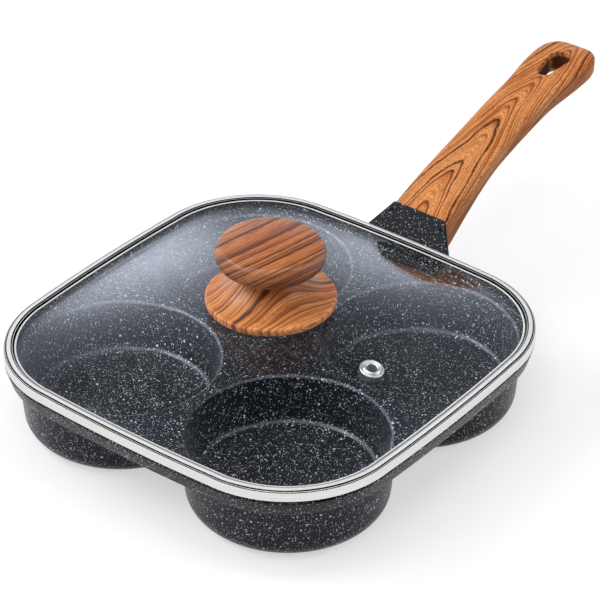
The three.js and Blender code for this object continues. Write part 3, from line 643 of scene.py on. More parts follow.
def speckle_group() -> Group:
    """Makes the sprayed specks of a stone-look coating.

    Returns:
        The group: specks in three sizes over a fine mist on a dark ground, with a painted highlight that
            lightens the ground where Edge is set.
    """
    group = Group(
        "SprayedSpecks",
        {
            "Vector": None,
            "Ground": tint(8, 10, 18),
            "Mist": tint(46, 51, 68),
            "Speck": tint(240, 242, 246),
            "Cover": 0.5,
            "Gloss": 0.4,
            "Edge": 0.0,
        },
    )
    sheet, given = group.sheet, group.given
    vector = given["Vector"]
    inputs = {0: vector.noise(1.6, output=1), 1: (0.3, 0.3, 0.3), 2: vector}
    shaken = sheet.wire(sheet.node("ShaderNodeVectorMath", inputs, operation="MULTIPLY_ADD"))
    mask = None
    for density, rare, widest in ((1.7, 0.4, 0.4), (1.0, 0.68, 0.4), (0.55, 0.88, 0.34)):
        cells = sheet.node("ShaderNodeTexVoronoi", {"Vector": shaken, "Scale": density, "Randomness": 1.0})
        luck = sheet.node("ShaderNodeSeparateColor", {0: sheet.wire(cells, "Color")})
        wanted = sheet.wire(luck) - (rare + 0.5 - given["Cover"])
        size = (wanted.larger(0.0) * (1 / (1 - rare))) ** 0.6
        spot = (size * widest - sheet.wire(cells, "Distance")).span(0.0, 0.06)
        spot = spot * sheet.wire(luck, 1).span(0.0, 1.0, 0.3, 1.0)
        mask = spot if mask is None else mask.larger(spot)
    grit = vector.noise(2.6, 2.0, 0.6)
    mist = grit.span(0.5, 0.75) * vector.noise(0.1, 3.0).span(0.3, 0.7, 0.08, 0.42)
    ground = sheet.mix(mist, given["Ground"], given["Mist"])
    # Painted highlight: where Edge is set, the ground is lightened towards a pale grey, standing for light
    # caught on the cups' lips and floor fillets.
    painted_highlight = given["Edge"] * grit.span(0.2, 0.7, 0.6, 0.85)
    ground = sheet.mix(painted_highlight, ground, tint(104, 109, 122))
    roughness = given["Gloss"] + (grit - 0.5) * 0.06
    return group.close(sheet.mix(mask, ground, given["Speck"]), roughness, mask * 0.35 + grit * 0.65)


def wood_group() -> Group:
    """Makes a wood figure from growth rings and fibres.

    Returns:
        The group. Phase counts the rings, and its vector has the fibres along Y, in millimetres.
    """
    group = Group(
        "WoodFigure",
        {
            "Vector": None,
            "Phase": 0.0,
            "Pale": tint(240, 162, 98),
            "Middle": tint(186, 100, 46),
            "Dark": tint(74, 32, 13),
            "Wander": 1.0,
            "Line": 0.8,
        },
    )
    sheet, given = group.sheet, group.given

    def grain(factors: Sequence[float], roughness: float = 0.5) -> Wire:
        """Gives a noise that is drawn out along the fibres."""
        return given["Vector"].stretch(factors).noise(1.0, 3.0, roughness)

    drift = (grain((0.12, 0.035, 0.12)) - 0.5) * given["Wander"]
    jag = (grain((1.3, 0.2, 1.3), 0.6) - 0.5) * 0.3
    beat = (given["Phase"] * 2.3).of("SINE") * 0.3
    phase = given["Phase"] + (drift * 2.6 + jag) + beat
    ring, count = phase.of("FRACT"), phase.of("FLOOR")
    luck = count.luck()
    late = ring.span(0.56, 0.84) * (1.0 - ring.span(0.86, 0.98)) * luck.span(0.1, 0.9, 0.15, 1.0)
    hair = (phase * 5.0 + luck).of("FRACT")
    hair = hair.span(0.4, 0.85) * (1.0 - hair.span(0.86, 1.0))
    fibre = grain((3.0, 0.1, 3.0), 0.65)
    tone = grain((0.1, 0.02, 0.1))
    ripe = ring.span(0.1, 0.85, 0.0, 0.6) + tone.span(0.35, 0.65, -0.15, 0.4)
    ripe = ripe + (count + 17.0).luck().span(0.0, 1.0, -0.35, 0.35)
    body = sheet.mix(ripe.span(0.0, 1.0), given["Pale"], given["Middle"])
    body = sheet.mix(fibre.span(0.45, 0.66) * 0.7, body, given["Middle"])
    lines = (late.larger(hair * 0.5) * given["Line"]).larger(fibre.span(0.54, 0.72) * 0.6)
    roughness = fibre.span(0.3, 0.75, 0.36, 0.52)
    return group.close(sheet.mix(lines, body, given["Dark"]), roughness, 1.0 - lines * 0.8)


def wear_group() -> Group:
    """Makes the fine brushing and handling marks of small hard pieces.

    Returns:
        The group: a base colour shaded by streaks, with a roughness and a height.
    """
    group = Group(
        "FineWear",
        {
            "Vector": None,
            "Base": tint(200, 200, 200),
            "Worn": tint(150, 150, 150),
            "Smooth": 0.2,
            "Rough": 0.4,
        },
    )
    given = group.given
    streaks = given["Vector"].noise(1.0, 3.0, 0.6)
    blend = streaks * given["Vector"].noise(0.13, 2.0)
    colour = group.sheet.mix(blend.span(0.15, 0.4), given["Base"], given["Worn"])
    return group.close(colour, streaks.span(0.3, 0.7, given["Smooth"], given["Rough"]), streaks)


class Paint:
    """One material with its sheet of nodes and its shader."""

    def __init__(self, name: str, **sockets: object) -> None:
        """Starts a material.

        Args:
            name: Name of the material.
            **sockets: Values for the shader's inputs, with _ for each space.
        """
        self.material = bpy.data.materials.new(name)
        self.material.use_nodes = True
        self.sheet = NodeSheet(self.material.node_tree)
        self.shader = self.material.node_tree.nodes["Principled BSDF"]
        for key, value in sockets.items():
            self.put(key.replace("_", " "), value)

    def put(self, name: str, value: object) -> None:
        """Feeds one input of the shader."""
        self.sheet.feed(self.shader.inputs[name], value)

    def dress(self, outputs: dict[str, Wire], depth: float, strength: float) -> Material:
        """Feeds the shader from a group's colour, roughness and height.

        Args:
            outputs: Outputs of the group.
            depth: Depth of the bumps, in metres.
            strength: Strength of the bumps.

        Returns:
            The finished material.
        """
        self.put("Base Color", outputs["Color"])
        self.put("Roughness", outputs["Roughness"])
        inputs = {"Height": outputs["Height"], "Distance": depth, "Strength": strength}
        self.put("Normal", self.sheet.wire(self.sheet.node("ShaderNodeBump", inputs)))
        return self.material

    def surface(self, shader: bpy.types.Node) -> Material:
        """Shows another shader node in place of the first one."""
        output = self.material.node_tree.nodes["Material Output"]
        self.sheet.feed(output.inputs["Surface"], self.sheet.wire(shader))
        return self.material


@dataclass(frozen=True)
class Ring:
    """A painted highlight line round a cup's axis."""

    radius: float
    height: float
    width: float


class Finishes:
    """The finishes of the pan, each made once."""

    def __init__(self, middle: Vector) -> None:
        """Makes the shared node groups.

        Args:
            middle: Middle of the lid in plan, where the knob's axis stands.
        """
        self.middle = middle
        self.specks = speckle_group()
        self.wood = wood_group()
        self.wear = wear_group()

    def painted_highlight(self, sheet: NodeSheet, edges: Sequence[Ring], pitch: float) -> Wire | float:
        """Marks the rings round each cup where a highlight is painted into the coating, stronger on each
        ring's side towards +Y.

        Args:
            sheet: Sheet of the coating.
            edges: The rings.
            pitch: Distance between the cups' axes.

        Returns:
            The mark, from 0 to 1.
        """
        *sides, height = sheet.millimetres((0, self.middle.y, 0)).split()
        legs = [side - side.of("SIGN") * (pitch / 2 / MM) for side in sides]
        out = (legs[0] * legs[0] + legs[1] * legs[1]).of("SQRT")
        highlight_side = (legs[1] / out).span(-0.2, 0.95, 0.2, 0.9)
        mark = 0.0
        for ring in edges:
            across, above = out - ring.radius / MM, height - ring.height / MM
            away = across * across + above * above
            mark = away.span(0.0, (ring.width / MM) ** 2, highlight_side, 0.0).larger(mark)
        return mark

    def coating(
        self, name: str, gloss: float, cover: float, edges: Sequence[Ring] = (), pitch: float = 0.0
    ) -> Material:
        """Makes the speckled non-stick coating.

        Args:
            name: Name of the material.
            gloss: Roughness between the specks.
            cover: How many specks there are.
            edges: Rings round each cup's axis where a highlight is painted into the coating.
            pitch: Distance between the cups' axes.

        Returns:
            The material.
        """
        paint = Paint(name, IOR=1.5, Specular_IOR_Level=0.27 if edges else 0.2)
        sheet = paint.sheet
        values = {"Vector": sheet.millimetres(), "Gloss": gloss, "Cover": cover}
        if edges:
            values["Edge"] = self.painted_highlight(sheet, edges, pitch)
        return paint.dress(self.specks.use(sheet, values), 0.04 * MM, 0.08)

    def grip_wood(
        self, start_y: float, crest: float, rise: float, length: float, arch: float, hole: Sequence[Point]
    ) -> Material:
        """Makes the grip's wood look, with nested arches that follow its crest, and painted shade down its
        sides and underside.

        Args:
            start_y: Where the grip starts along Y.
            crest: Height of its top there.
            rise: Climb of the top from there to the tip.
            length: Length along Y.
            arch: Exponent of the climb.
            hole: Reach of the hang hole along X and Y, inside which the uncoated moulding shows, darkened
                further as painted shade.

        Returns:
            The material.
        """
        paint = Paint("grip_figure", IOR=1.5, Specular_IOR_Level=0.14)
        sheet = paint.sheet
        vector = sheet.millimetres((0.5 * MM, start_y, crest))
        x, y, z = vector.split()
        left = (1.0 - y / (length / MM)).larger(0.0)
        top = (1.0 - left**arch) * (rise / MM)
        below = (top - z - 1.5).larger(0.0)
        sway = (y * 0.11).of("SINE") * 0.8
        across = (x + sway).of("ABSOLUTE") + below
        blunt = 4.0
        hyperbola = (across * across + blunt * blunt).of("SQRT")
        phase = (y + (hyperbola - blunt) * 5.5) / 8.4
        figure = self.wood.use(sheet, {"Vector": vector, "Phase": phase, "Wander": 0.36, "Line": 1.0})
        material = paint.dress(figure, 0.05 * MM, 0.4)
        # Inside the hang hole: the uncoated moulding's colour, also darkened as painted shade.
        bare_and_shaded = below.span(0.2, 1.4)
        for side, reach in zip((x, y), hole, strict=True):
            middle, half = sum(reach) / 2 / MM, (reach[1] - reach[0]) / 2 / MM
            bare_and_shaded = bare_and_shaded * (side - middle).of("ABSOLUTE").span(half, half + 0.8, 1.0, 0.0)
        # Painted shade: the wood darkens with depth below the crest, so the sides and underside look shaded.
        body = sheet.mix(below.span(1.0, 9.0) * 0.5, figure["Color"], tint(112, 52, 20))
        paint.put("Base Color", sheet.mix(bare_and_shaded, body, tint(104, 54, 28)))
        paint.put("Roughness", figure["Roughness"].larger(bare_and_shaded))
        return material

    def knob_wood(self, name: str, turn: float, lean: float, palette: Sequence[Colour]) -> Material:
        """Makes the knob's darker wood look.

        Args:
            name: Name of the material.
            turn: Bearing across the streaks, in degrees.
            lean: Slope of the grain's layers, so that no ring shows where they meet the rim.
            palette: Pale, middle and dark colours.

        Returns:
            The material.
        """
        paint = Paint(name, IOR=1.5, Coat_Weight=0.1, Coat_Roughness=0.2)
        sheet = paint.sheet
        x, y, z = sheet.millimetres((self.middle.x, self.middle.y, 0.0), (0, 0, math.radians(turn))).split()
        across = x + z * lean
        fibres = sheet.wire(sheet.node("ShaderNodeCombineXYZ", {0: across, 1: y, 2: z * 0.12}))
        values = {"Vector": fibres, "Phase": across / 3.0, "Wander": 0.25, "Line": 0.95}
        values.update(zip(("Pale", "Middle", "Dark"), palette, strict=True))
        return paint.dress(self.wood.use(sheet, values), 0.05 * MM, 0.4)

    def hard(
        self,
        name: str,
        base: Colour,
        worn: Colour,
        metal: float,
        low: float,
        high: float,
        scale: Sequence[float],
        crease_shade_below: float | None = None,
    ) -> Material:
        """Makes a brushed or moulded finish for a small hard piece.

        Args:
            name: Name of the material.
            base: Main colour.
            worn: Colour of its marks.
            metal: 1 for metal, 0 for rubber or plastic.
            low: Roughness of its smooth places.
            high: Roughness of its rough places.
            scale: Fineness of the marks along X, Y and Z.
            crease_shade_below: Height below which sloping steps get painted shade, a near-black colour for
                the shadow in the crease. Flats then have a pale satin finish.

        Returns:
            The material.
        """
        paint = Paint(name, Metallic=metal)
        sheet = paint.sheet
        vector = sheet.millimetres((self.middle.x, self.middle.y, 0)).stretch(scale)
        values = {"Vector": vector, "Base": base, "Worn": worn, "Smooth": low, "Rough": high}
        marks = self.wear.use(sheet, values)
        material = paint.dress(marks, 0.02 * MM, 0.04)
        if crease_shade_below is not None:
            # Painted shade: sloping faces below the given height get a near-black colour where the fold's
            # shadow falls in the crease.
            upward = sheet.wire(sheet.node("ShaderNodeNewGeometry"), "Normal").split()[2]
            height = sheet.millimetres().split()[2]
            low_down = height.span(crease_shade_below / MM - 0.05, crease_shade_below / MM + 0.05, 1.0, 0.0)
            dark = (upward.span(0.58, 0.64) - upward.span(0.9, 0.94)) * low_down
            paint.put("Base Color", sheet.mix(dark, marks["Color"], tint(18, 17, 16)))
            paint.put("Roughness", marks["Roughness"].larger(upward.span(0.95, 0.98, 0.0, 0.4)))
            paint.put("Metallic", upward.span(0.95, 0.98, metal, 0.25 * metal))
        return material

    def glass(self) -> Material:
        """Makes clear glass that lets the lamps through."""
        paint = Paint("clear_glass", IOR=1.45, Transmission_Weight=1.0, Roughness=0.0)
        sheet = paint.sheet
        smear = sheet.millimetres().noise(0.03, 2.0).span(0.3, 0.7)
        paint.put("Base Color", sheet.mix(smear, (0.97, 0.985, 0.985, 1), (0.99, 0.995, 0.995, 1)))
        clear = sheet.wire(sheet.node("ShaderNodeBsdfTransparent", {0: (0.94, 0.96, 0.96, 1)}))
        shadow = sheet.wire(sheet.node("ShaderNodeLightPath"), "Is Shadow Ray")
        both = {0: shadow, 1: sheet.wire(paint.shader), 2: clear}
        return paint.surface(sheet.node("ShaderNodeMixShader", both))


@dataclass
class PanCasting:
    """The pan's one casting: tray, four cups, lug, ribs and tenon."""

    plan: RimPlan
    mouth: float = 41.6 * MM
    draft: float = 3.6 * MM
    depth: float = 21.4 * MM
    floor: float = 9.0 * MM
    floor_fillet: float = 6.0 * MM
    lip: float = 1.4 * MM
    lip_steps: int = 6
    fillet_steps: int = 10
    wall_at_deck: float = 2.0 * MM
    wall_at_floor: float = 3.4 * MM
    heel: float = 9.0 * MM
    foot_ring: float = 6.0 * MM
    recess: float = 0.6 * MM
    turned_rings: tuple[float, ...] = (0.78, 0.52, 0.26)
    groove: float = 0.25 * MM
    pitch: float = 88.6 * MM
    sheet: float = 3.5 * MM
    rise: float = 4.0 * MM
    wall: float = 4.0 * MM
    round: float = 0.8 * MM
    taper: float = 1.5 * MM
    fillet: float = 1.2 * MM
    pad_half: float = 23.4 * MM
    pad_top: float = 33.4 * MM
    pad_foot: float = 10.0 * MM
    pad_face: float = 94.7 * MM
    pad_thickness: float = 3.8 * MM
    pad_round: float = 5.0 * MM
    rib_length: float = 22.0 * MM
    rib_depth: float = 11.0 * MM
    rib_thickness: float = 4.0 * MM
    rib_place: float = 15.0 * MM
    rib_tip: float = 0.5 * MM
    rib_round: float = 0.8 * MM
    tenon_half: float = 10.0 * MM
    tenon_half_height: float = 4.6 * MM
    tenon_round: float = 2.4 * MM
    tenon_sink: float = 2.2 * MM
    tenon_climb: float = 15.6 / 9.6
    tenon_run: float = 11.8 * MM
    tenon_narrowing: float = 0.75
    tenon_reach: float = 17.0 * MM
    tenon_lean: float = math.radians(25)

    def deck(self) -> float:
        """Gives the height of the deck."""
        return self.floor + self.depth

    def inside_lean(self) -> float:
        """Gives the angle of a cup's inner wall."""
        return math.atan(self.draft / self.depth)

    def lip_radius(self) -> float:
        """Gives the radius where a cup's lip meets the deck."""
        lean = self.inside_lean()
        return self.mouth + self.lip * (1 / math.cos(lean) - math.tan(lean))

    def outside_radius(self, height: float) -> float:
        """Gives a cup's outer radius at a height."""
        foot = self.mouth - self.draft + self.wall_at_floor
        return foot + (self.mouth + self.wall_at_deck - foot) * height / self.deck()

    def inside_profile(self) -> list[Point]:
        """Gives a cup's inside from its lip to the middle of its floor."""
        lean, deck = self.inside_lean(), self.deck()
        floor_radius = self.mouth - self.draft
        fillet_x = floor_radius + self.floor_fillet * (math.tan(lean) - 1 / math.cos(lean))
        lip = arc(self.lip_radius(), deck - self.lip, self.lip, SQUARE, math.pi - lean, self.lip_steps)
        centre = self.floor + self.floor_fillet
        fillet = arc(fillet_x, centre, self.floor_fillet, -lean, -SQUARE, self.fillet_steps)
        return [*lip, *fillet, (fillet_x * 0.5, self.floor), (0, self.floor)]

    def outside_profile(self) -> list[Point]:
        """Gives a cup's outside from the deck's underside to the middle of its base."""
        under = self.deck() - self.sheet
        foot = self.outside_radius(0)
        lean = math.atan((self.outside_radius(self.deck()) - foot) / self.deck())
        heel_x = foot + self.heel * (math.tan(lean) - 1 / math.cos(lean))
        recess = heel_x - self.foot_ring
        heel = arc(heel_x, self.heel, self.heel, -lean, -SQUARE, self.fillet_steps)
        rings = []
        for share in self.turned_rings:
            for step, height in enumerate((0, self.groove, 0)):
                rings.append((recess * share - step * self.groove, self.recess + height))
        start = (self.outside_radius(under), under)
        return [start, *heel, (recess, 0), (recess - self.recess, self.recess), *rings, (0, self.recess)]

    def tray(self) -> Piece:
        """Builds the deck and the rim, with four holes in each face of the deck.

        Returns:
            The tray, open in edit mode.
        """
        deck = self.deck()
        under, top = deck - self.sheet, deck + self.rise
        start = -self.taper - self.round
        piece = self.plan.start("pan_body.casting", start, under)
        outer = arc(-self.round, top - self.round, self.round, 0, SQUARE, 5)
        inner = arc(self.round - self.wall, top - self.round, self.round, SQUARE, math.pi, 5)
        root = arc(-self.wall - self.fillet, deck + self.fillet, self.fillet, 0, -SQUARE, 5)
        self.plan.follow([(start, under), (-self.taper, under + self.round), *outer, *inner, *root])
        for height, radius in ((deck, self.lip_radius()), (under, self.outside_radius(under))):
            Bench.pick_level(piece, Pick.FACES, height)
            bpy.ops.mesh.delete(type="ONLY_FACE")
            for x, y in self.centres():
                bpy.ops.mesh.primitive_circle_add(
                    vertices=ROUND_STEPS, radius=radius, location=(x, y, height)
                )
            Bench.pick_level(piece, Pick.EDGES, height)
            bpy.ops.mesh.fill(use_beauty=True)
        return piece

    def centres(self) -> list[Point]:
        """Gives the middle of each cup in plan."""
        half = self.pitch / 2
        return [(x * half, self.plan.centre_y + y * half) for x in (-1, 1) for y in (-1, 1)]

    def cups(self) -> list[Piece]:
        """Turns one cup and copies it to the other three places."""
        places = self.centres()
        first = Bench.lathe("cup.inside", self.inside_profile(), *places[0])
        skin = Bench.lathe("cup.outside", self.outside_profile(), *places[0])
        Bench.join(first, [skin])
        made = [first]
        for x, y in places[1:]:
            Bench.hold(first)
            bpy.ops.object.duplicate(linked=False)
            Bench.move((x - places[0][0], y - places[0][1], 0))
            bpy.ops.object.transform_apply(location=True)
            made.append(bpy.context.object)
        return made

    def rib(self, side: int, root: float) -> Piece:
        """Builds one brace under the deck, from the pad to a thin tip.

        Args:
            side: -1 or 1, for the side of the handle that it is on.
            root: Where it starts along Y.

        Returns:
            The rib, open in edit mode.
        """
        Bench.clear()
        height = self.deck() - self.sheet / 2 - self.rib_depth / 2
        middle = (side * self.rib_place, root - self.rib_length / 2, height)
        size = (self.rib_thickness, self.rib_length, self.rib_depth)
        bpy.ops.mesh.primitive_cube_add(size=1, location=middle, scale=size)
        made = Bench.open(f"lug.rib{side + 1}")
        Bench.pick(made, Pick.POINTS, lambda point: point.y < middle[1] and point.z < middle[2])
        Bench.move((0, 0, self.rib_depth - self.rib_tip))
        Bench.pick_all()
        bpy.ops.mesh.bevel(offset=self.rib_round, segments=3, affect="EDGES")
        return made

    def tenon(self, root: float) -> Piece:
        """Builds the tenon, which climbs through the guard and runs on into the grip.

        Args:
            root: Where it starts along Y.

        Returns:
            The tenon, open in edit mode.
        """
        middle = (self.pad_top + self.pad_foot) / 2 - self.tenon_sink * self.tenon_climb
        top, foot = middle + self.tenon_half_height, middle - self.tenon_half_height
        corners = (self.tenon_round, self.tenon_round)
        made = Bench.section("lug.tenon", root, self.tenon_half, top, foot, corners)
        Bench.pull((0, self.tenon_run, self.tenon_run * self.tenon_climb))
        Bench.scale((self.tenon_narrowing, 1, 1), (0, root + self.tenon_run, 0))
        Bench.pull((0, self.tenon_reach, self.tenon_reach * math.tan(self.tenon_lean)))
        Bench.close_seams()
        return made

    def lug(self) -> list[Piece]:
        """Builds the pad on the rim, its two ribs and the tenon."""
        y = self.plan.centre_y + self.pad_face
        corners = (self.pad_round, self.pad_round)
        pad = Bench.section("lug.pad", y, self.pad_half, self.pad_top, self.pad_foot, corners)
        Bench.pull((0, -self.pad_thickness, 0))
        Bench.close_seams()
        root = y - self.pad_thickness / 2
        return [pad, self.rib(-1, root), self.rib(1, root), self.tenon(root)]

    def build(self, finishes: Finishes) -> None:
        """Builds the casting, welds it and dresses it."""
        piece = self.tray()
        Bench.join(piece, self.cups())
        Bench.edit(piece)
        Bench.close_seams()
        Bench.join(piece, self.lug())
        Bench.smooth(piece, 35)
        # Painted highlight rings at each cup's lip and halfway round its floor fillet.
        bend = self.inside_profile()[self.lip_steps + 1 + self.fillet_steps // 2]
        lip = Ring(self.mouth + 0.3 * MM, self.deck() - 0.5 * MM, 0.9 * MM)
        root = Ring(*bend, 1.0 * MM)
        coat = finishes.coating("pan_coating", 0.28, 0.5, (lip, root), self.pitch)
        Bench.place(piece, Body.PAN, ["pan_body"], "coating", coat)


@dataclass
class Handle:
    """The cast guard and the arched grip with its hang hole."""

    plan: RimPlan
    start: float = 95.0 * MM
    guard_length: float = 9.6 * MM
    guard_half: float = 24.0 * MM
    guard_top: float = 36.6 * MM
    guard_foot: float = 10.0 * MM
    guard_wall: float = 2.8 * MM
    guard_rounds: Point = (2.6 * MM, 4.2 * MM)
    guard_edge: float = 0.5 * MM
    guard_steps: int = 4
    junction_half: float = 14.6 * MM
    junction_top: float = 48.2 * MM
    junction_foot: float = 26.4 * MM
    gap: float = 0.3 * MM
    length: float = 123.0 * MM
    rise: float = 32.0 * MM
    arch: float = 1.6
    end_round: float = 13.0 * MM
    end_drop: float = 1.8 * MM
    end_lift: float = 6.0 * MM
    end_power: float = 2.2
    end_width: float = 0.3
    end_steps: int = 12
    tip_inset: float = 1.0 * MM
    tip_crown: float = 0.25 * MM
    grip_rounds: Point = (4.2 * MM, 10.4 * MM)
    belly: float = 23.0 * MM
    belly_place: float = 4.0 * MM
    belly_length: float = 40.0 * MM
    belly_fall: float = 1.8
    waist_length: float = 50.0 * MM
    shank: float = 13.0 * MM
    shank_half: float = 12.4 * MM
    shank_steps: int = 40
    swell_length: float = 43.0 * MM
    swell_run: float = 26.0 * MM
    tip_half: float = 14.6 * MM
    hole_length: float = 20.0 * MM
    hole_wide: float = 5.2 * MM
    hole_narrow: float = 3.4 * MM
    hole_margin: float = 9.5 * MM
    hole_flare: float = 3.2 * MM
    hole_tilt: float = math.radians(8)
    screw_lean: float = math.radians(25)
    recess_radius: float = 4.9 * MM
    recess_length: float = 30.0 * MM
    recess_lift: float = 0.9 * MM

    def grip_start(self) -> float:
        """Gives where the grip starts along Y."""
        return self.plan.centre_y + self.start + self.guard_length + self.gap

    def top(self, along: float) -> float:
        """Gives the height of the grip's crest at a distance from its start."""
        left = max(0.0, 1 - along / self.length)
        return self.junction_top + self.rise * (1 - left**self.arch)

    def thickness(self, along: float) -> float:
        """Gives the grip's thickness at a distance from its start."""
        depth = self.junction_top - self.junction_foot
        if along < self.belly_place:
            return depth + (self.belly - depth) * along / self.belly_place
        left = max(0.0, 1 - (along - self.belly_place) / self.belly_length)
        return self.shank + (self.belly - self.shank) * left**self.belly_fall

    def half_width(self, along: float) -> float:
        """Gives half of the grip's width at a distance from its start."""
        narrowing = (self.shank_half - self.junction_half) * eased(along / self.waist_length)
        swell = eased((along - (self.length - self.swell_length)) / self.swell_run)
        return self.junction_half + narrowing + (self.tip_half - self.shank_half) * swell

    @staticmethod
    def draw(start: float, stations: Sequence[tuple[float, float, float, float]]) -> None:
        """Draws the selected section along its stations.

        Args:
            start: Where the stations' places are counted from along Y.
            stations: Place, half width, top and foot of each. The first is the section itself.
        """
        for before, after in pairwise(stations):
            along, half, top, foot = after
            Bench.pull((0, along - before[0], (top + foot - before[2] - before[3]) / 2))
            wider, taller = half / before[1], (top - foot) / (before[2] - before[3])
            Bench.scale((wider, 1, taller), (0, start + along, (top + foot) / 2))

    def guard(self, finishes: Finishes) -> None:
        """Builds the flared sleeve between the pan and the grip, with an end wall behind the grip."""
        y = self.plan.centre_y + self.start
        first = (0.0, self.guard_half, self.guard_top, self.guard_foot)
        last = (self.guard_length, self.junction_half, self.junction_top, self.junction_foot)
        piece = Bench.section("handle_guard.sleeve", y, *first[1:], self.guard_rounds)
        shares = [step / self.guard_steps for step in range(self.guard_steps + 1)]
        pairs = list(zip(first, last, strict=True))
        self.draw(y, [tuple(a + (b - a) * share for a, b in pairs) for share in shares])
        Bench.pick(piece, Pick.FACES, lambda point: abs(point.y - y) < SAME_PLACE)
        bpy.ops.mesh.delete(type="ONLY_FACE")
        Bench.close_seams()
        Bench.modify(piece, "SOLIDIFY", thickness=self.guard_wall, offset=-1.0, use_even_offset=True)
        corner = {"limit_method": "ANGLE", "angle_limit": math.radians(50)}
        Bench.modify(piece, "BEVEL", width=self.guard_edge, segments=3, **corner)
        Bench.smooth(piece)
        coat = finishes.coating("guard_coating", 0.5, 0.4)
        Bench.place(piece, Body.PAN, ["handle_guard"], "guard_coating", coat)

    def stations(self) -> list[tuple[float, float, float, float]]:
        """Gives place, half width, top and foot of the grip's sections."""
        round_start = self.length - self.end_round
        places = [round_start * i / self.shank_steps for i in range(self.shank_steps)]
        turns = [SQUARE * i / self.end_steps for i in range(self.end_steps + 1)]
        places += [round_start + self.end_round * math.sin(turn) for turn in turns]
        made = []
        for along in places:
            into = min(1.0, max(0.0, (along - round_start) / self.end_round))
            left = (1 - into**self.end_power) ** (1 / self.end_power)
            half = self.half_width(along) * (self.end_width + (1 - self.end_width) * left)
            top = self.top(along) - self.end_drop * (1 - left)
            foot = self.top(along) - self.thickness(along) + self.end_lift * (1 - left)
            made.append((along, half, top, foot))
        return made

    def grip(self, finishes: Finishes) -> None:
        """Builds the arched grip, its hang hole and its screw's counterbore."""
        stations = self.stations()
        y = self.grip_start()
        piece = Bench.section("handle_grip.wood", y, *stations[0][1:], self.grip_rounds, 10)
        self.draw(y, stations)
        bpy.ops.mesh.inset(thickness=self.tip_inset, depth=self.tip_crown, use_even_offset=True)
        Bench.close_seams()
        Bench.cut(piece, self.hole_cutter())
        Bench.cut(piece, self.counterbore())
        Bench.smooth(piece)
        hole_end = self.length - self.hole_margin
        hole = ((-self.hole_wide, self.hole_wide), (hole_end - self.hole_length, hole_end))
        wood = finishes.grip_wood(y, self.junction_top, self.rise, self.length, self.arch, hole)
        Bench.place(piece, Body.PAN, ["handle_grip"], "grip_wood_look", wood)

    def hole_cutter(self) -> Piece:
        """Builds the teardrop that cuts the hang hole, flared below and eased above."""
        along = self.length - self.hole_margin - self.hole_length / 2
        centre = Vector((0, self.grip_start() + along, self.top(along) - self.thickness(along) / 2))
        wide_y = self.hole_length / 2 - self.hole_wide
        narrow_y = self.hole_narrow - self.hole_length / 2
        Bench.clear()
        bpy.ops.mesh.primitive_circle_add(
            vertices=72, radius=self.hole_wide, fill_type="NGON", location=centre
        )
        cutter = Bench.open("hang_hole")
        Bench.pick(cutter, Pick.POINTS, lambda point: point.y < centre.y + SAME_PLACE)
        shrink = self.hole_narrow / self.hole_wide
        Bench.scale((shrink, shrink, 1), centre)
        Bench.move((0, narrow_y, 0))
        Bench.pick(cutter, Pick.POINTS, lambda point: point.y > centre.y + narrow_y + 10 * SAME_PLACE)
        Bench.move((0, wide_y, 0))
        Bench.pick_faces()
        half, flare = self.shank / 2, self.hole_flare
        rings = [(-3 * half, flare), (-half - 0.5 * MM, flare), (-half + 4.5 * MM, 0.0)]
        rings += [(half - 0.7 * MM, 0.0), (half - 0.2 * MM, 0.3 * MM)]
        rings += [(half + 0.5 * MM, 1.0 * MM), (3 * half, 1.0 * MM)]
        Bench.move((0, 0, rings[0][0]))
        before = (rings[0][0], 0.0)
        for height, growth in [rings[0], *rings]:
            if height != before[0]:
                Bench.pull((0, 0, height - before[0]))
            wider = (self.hole_wide + growth) / (self.hole_wide + before[1])
            longer = (self.hole_length / 2 + growth) / (self.hole_length / 2 + before[1])
            Bench.scale((wider, longer, 1), (0, centre.y, centre.z + height))
            before = (height, growth)
        Bench.pick_all()
        bpy.ops.mesh.normals_make_consistent(inside=False)
        Bench.clear()
        tilt = Matrix.Rotation(self.hole_tilt, 4, "X")
        cutter.data.transform(Matrix.Translation(centre) @ tilt @ Matrix.Translation(-centre))
        return cutter

    def counterbore(self) -> Piece:
        """Builds the bar that cuts the recess for the handle screw."""
        low, high = (Vector(corner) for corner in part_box("handle_spring_washer"))
        lean = Matrix.Rotation(self.screw_lean, 4, "X")
        drop = Matrix.Translation((0, 0, self.recess_lift - self.recess_length / 2))
        place = Matrix.Translation((low + high) / 2) @ lean @ drop
        return Bench.bar("screw_recess", self.recess_radius, self.recess_length, place)

    def build(self, finishes: Finishes) -> None:
        """Builds both pieces."""
        self.guard(finishes)
        self.grip(finishes)


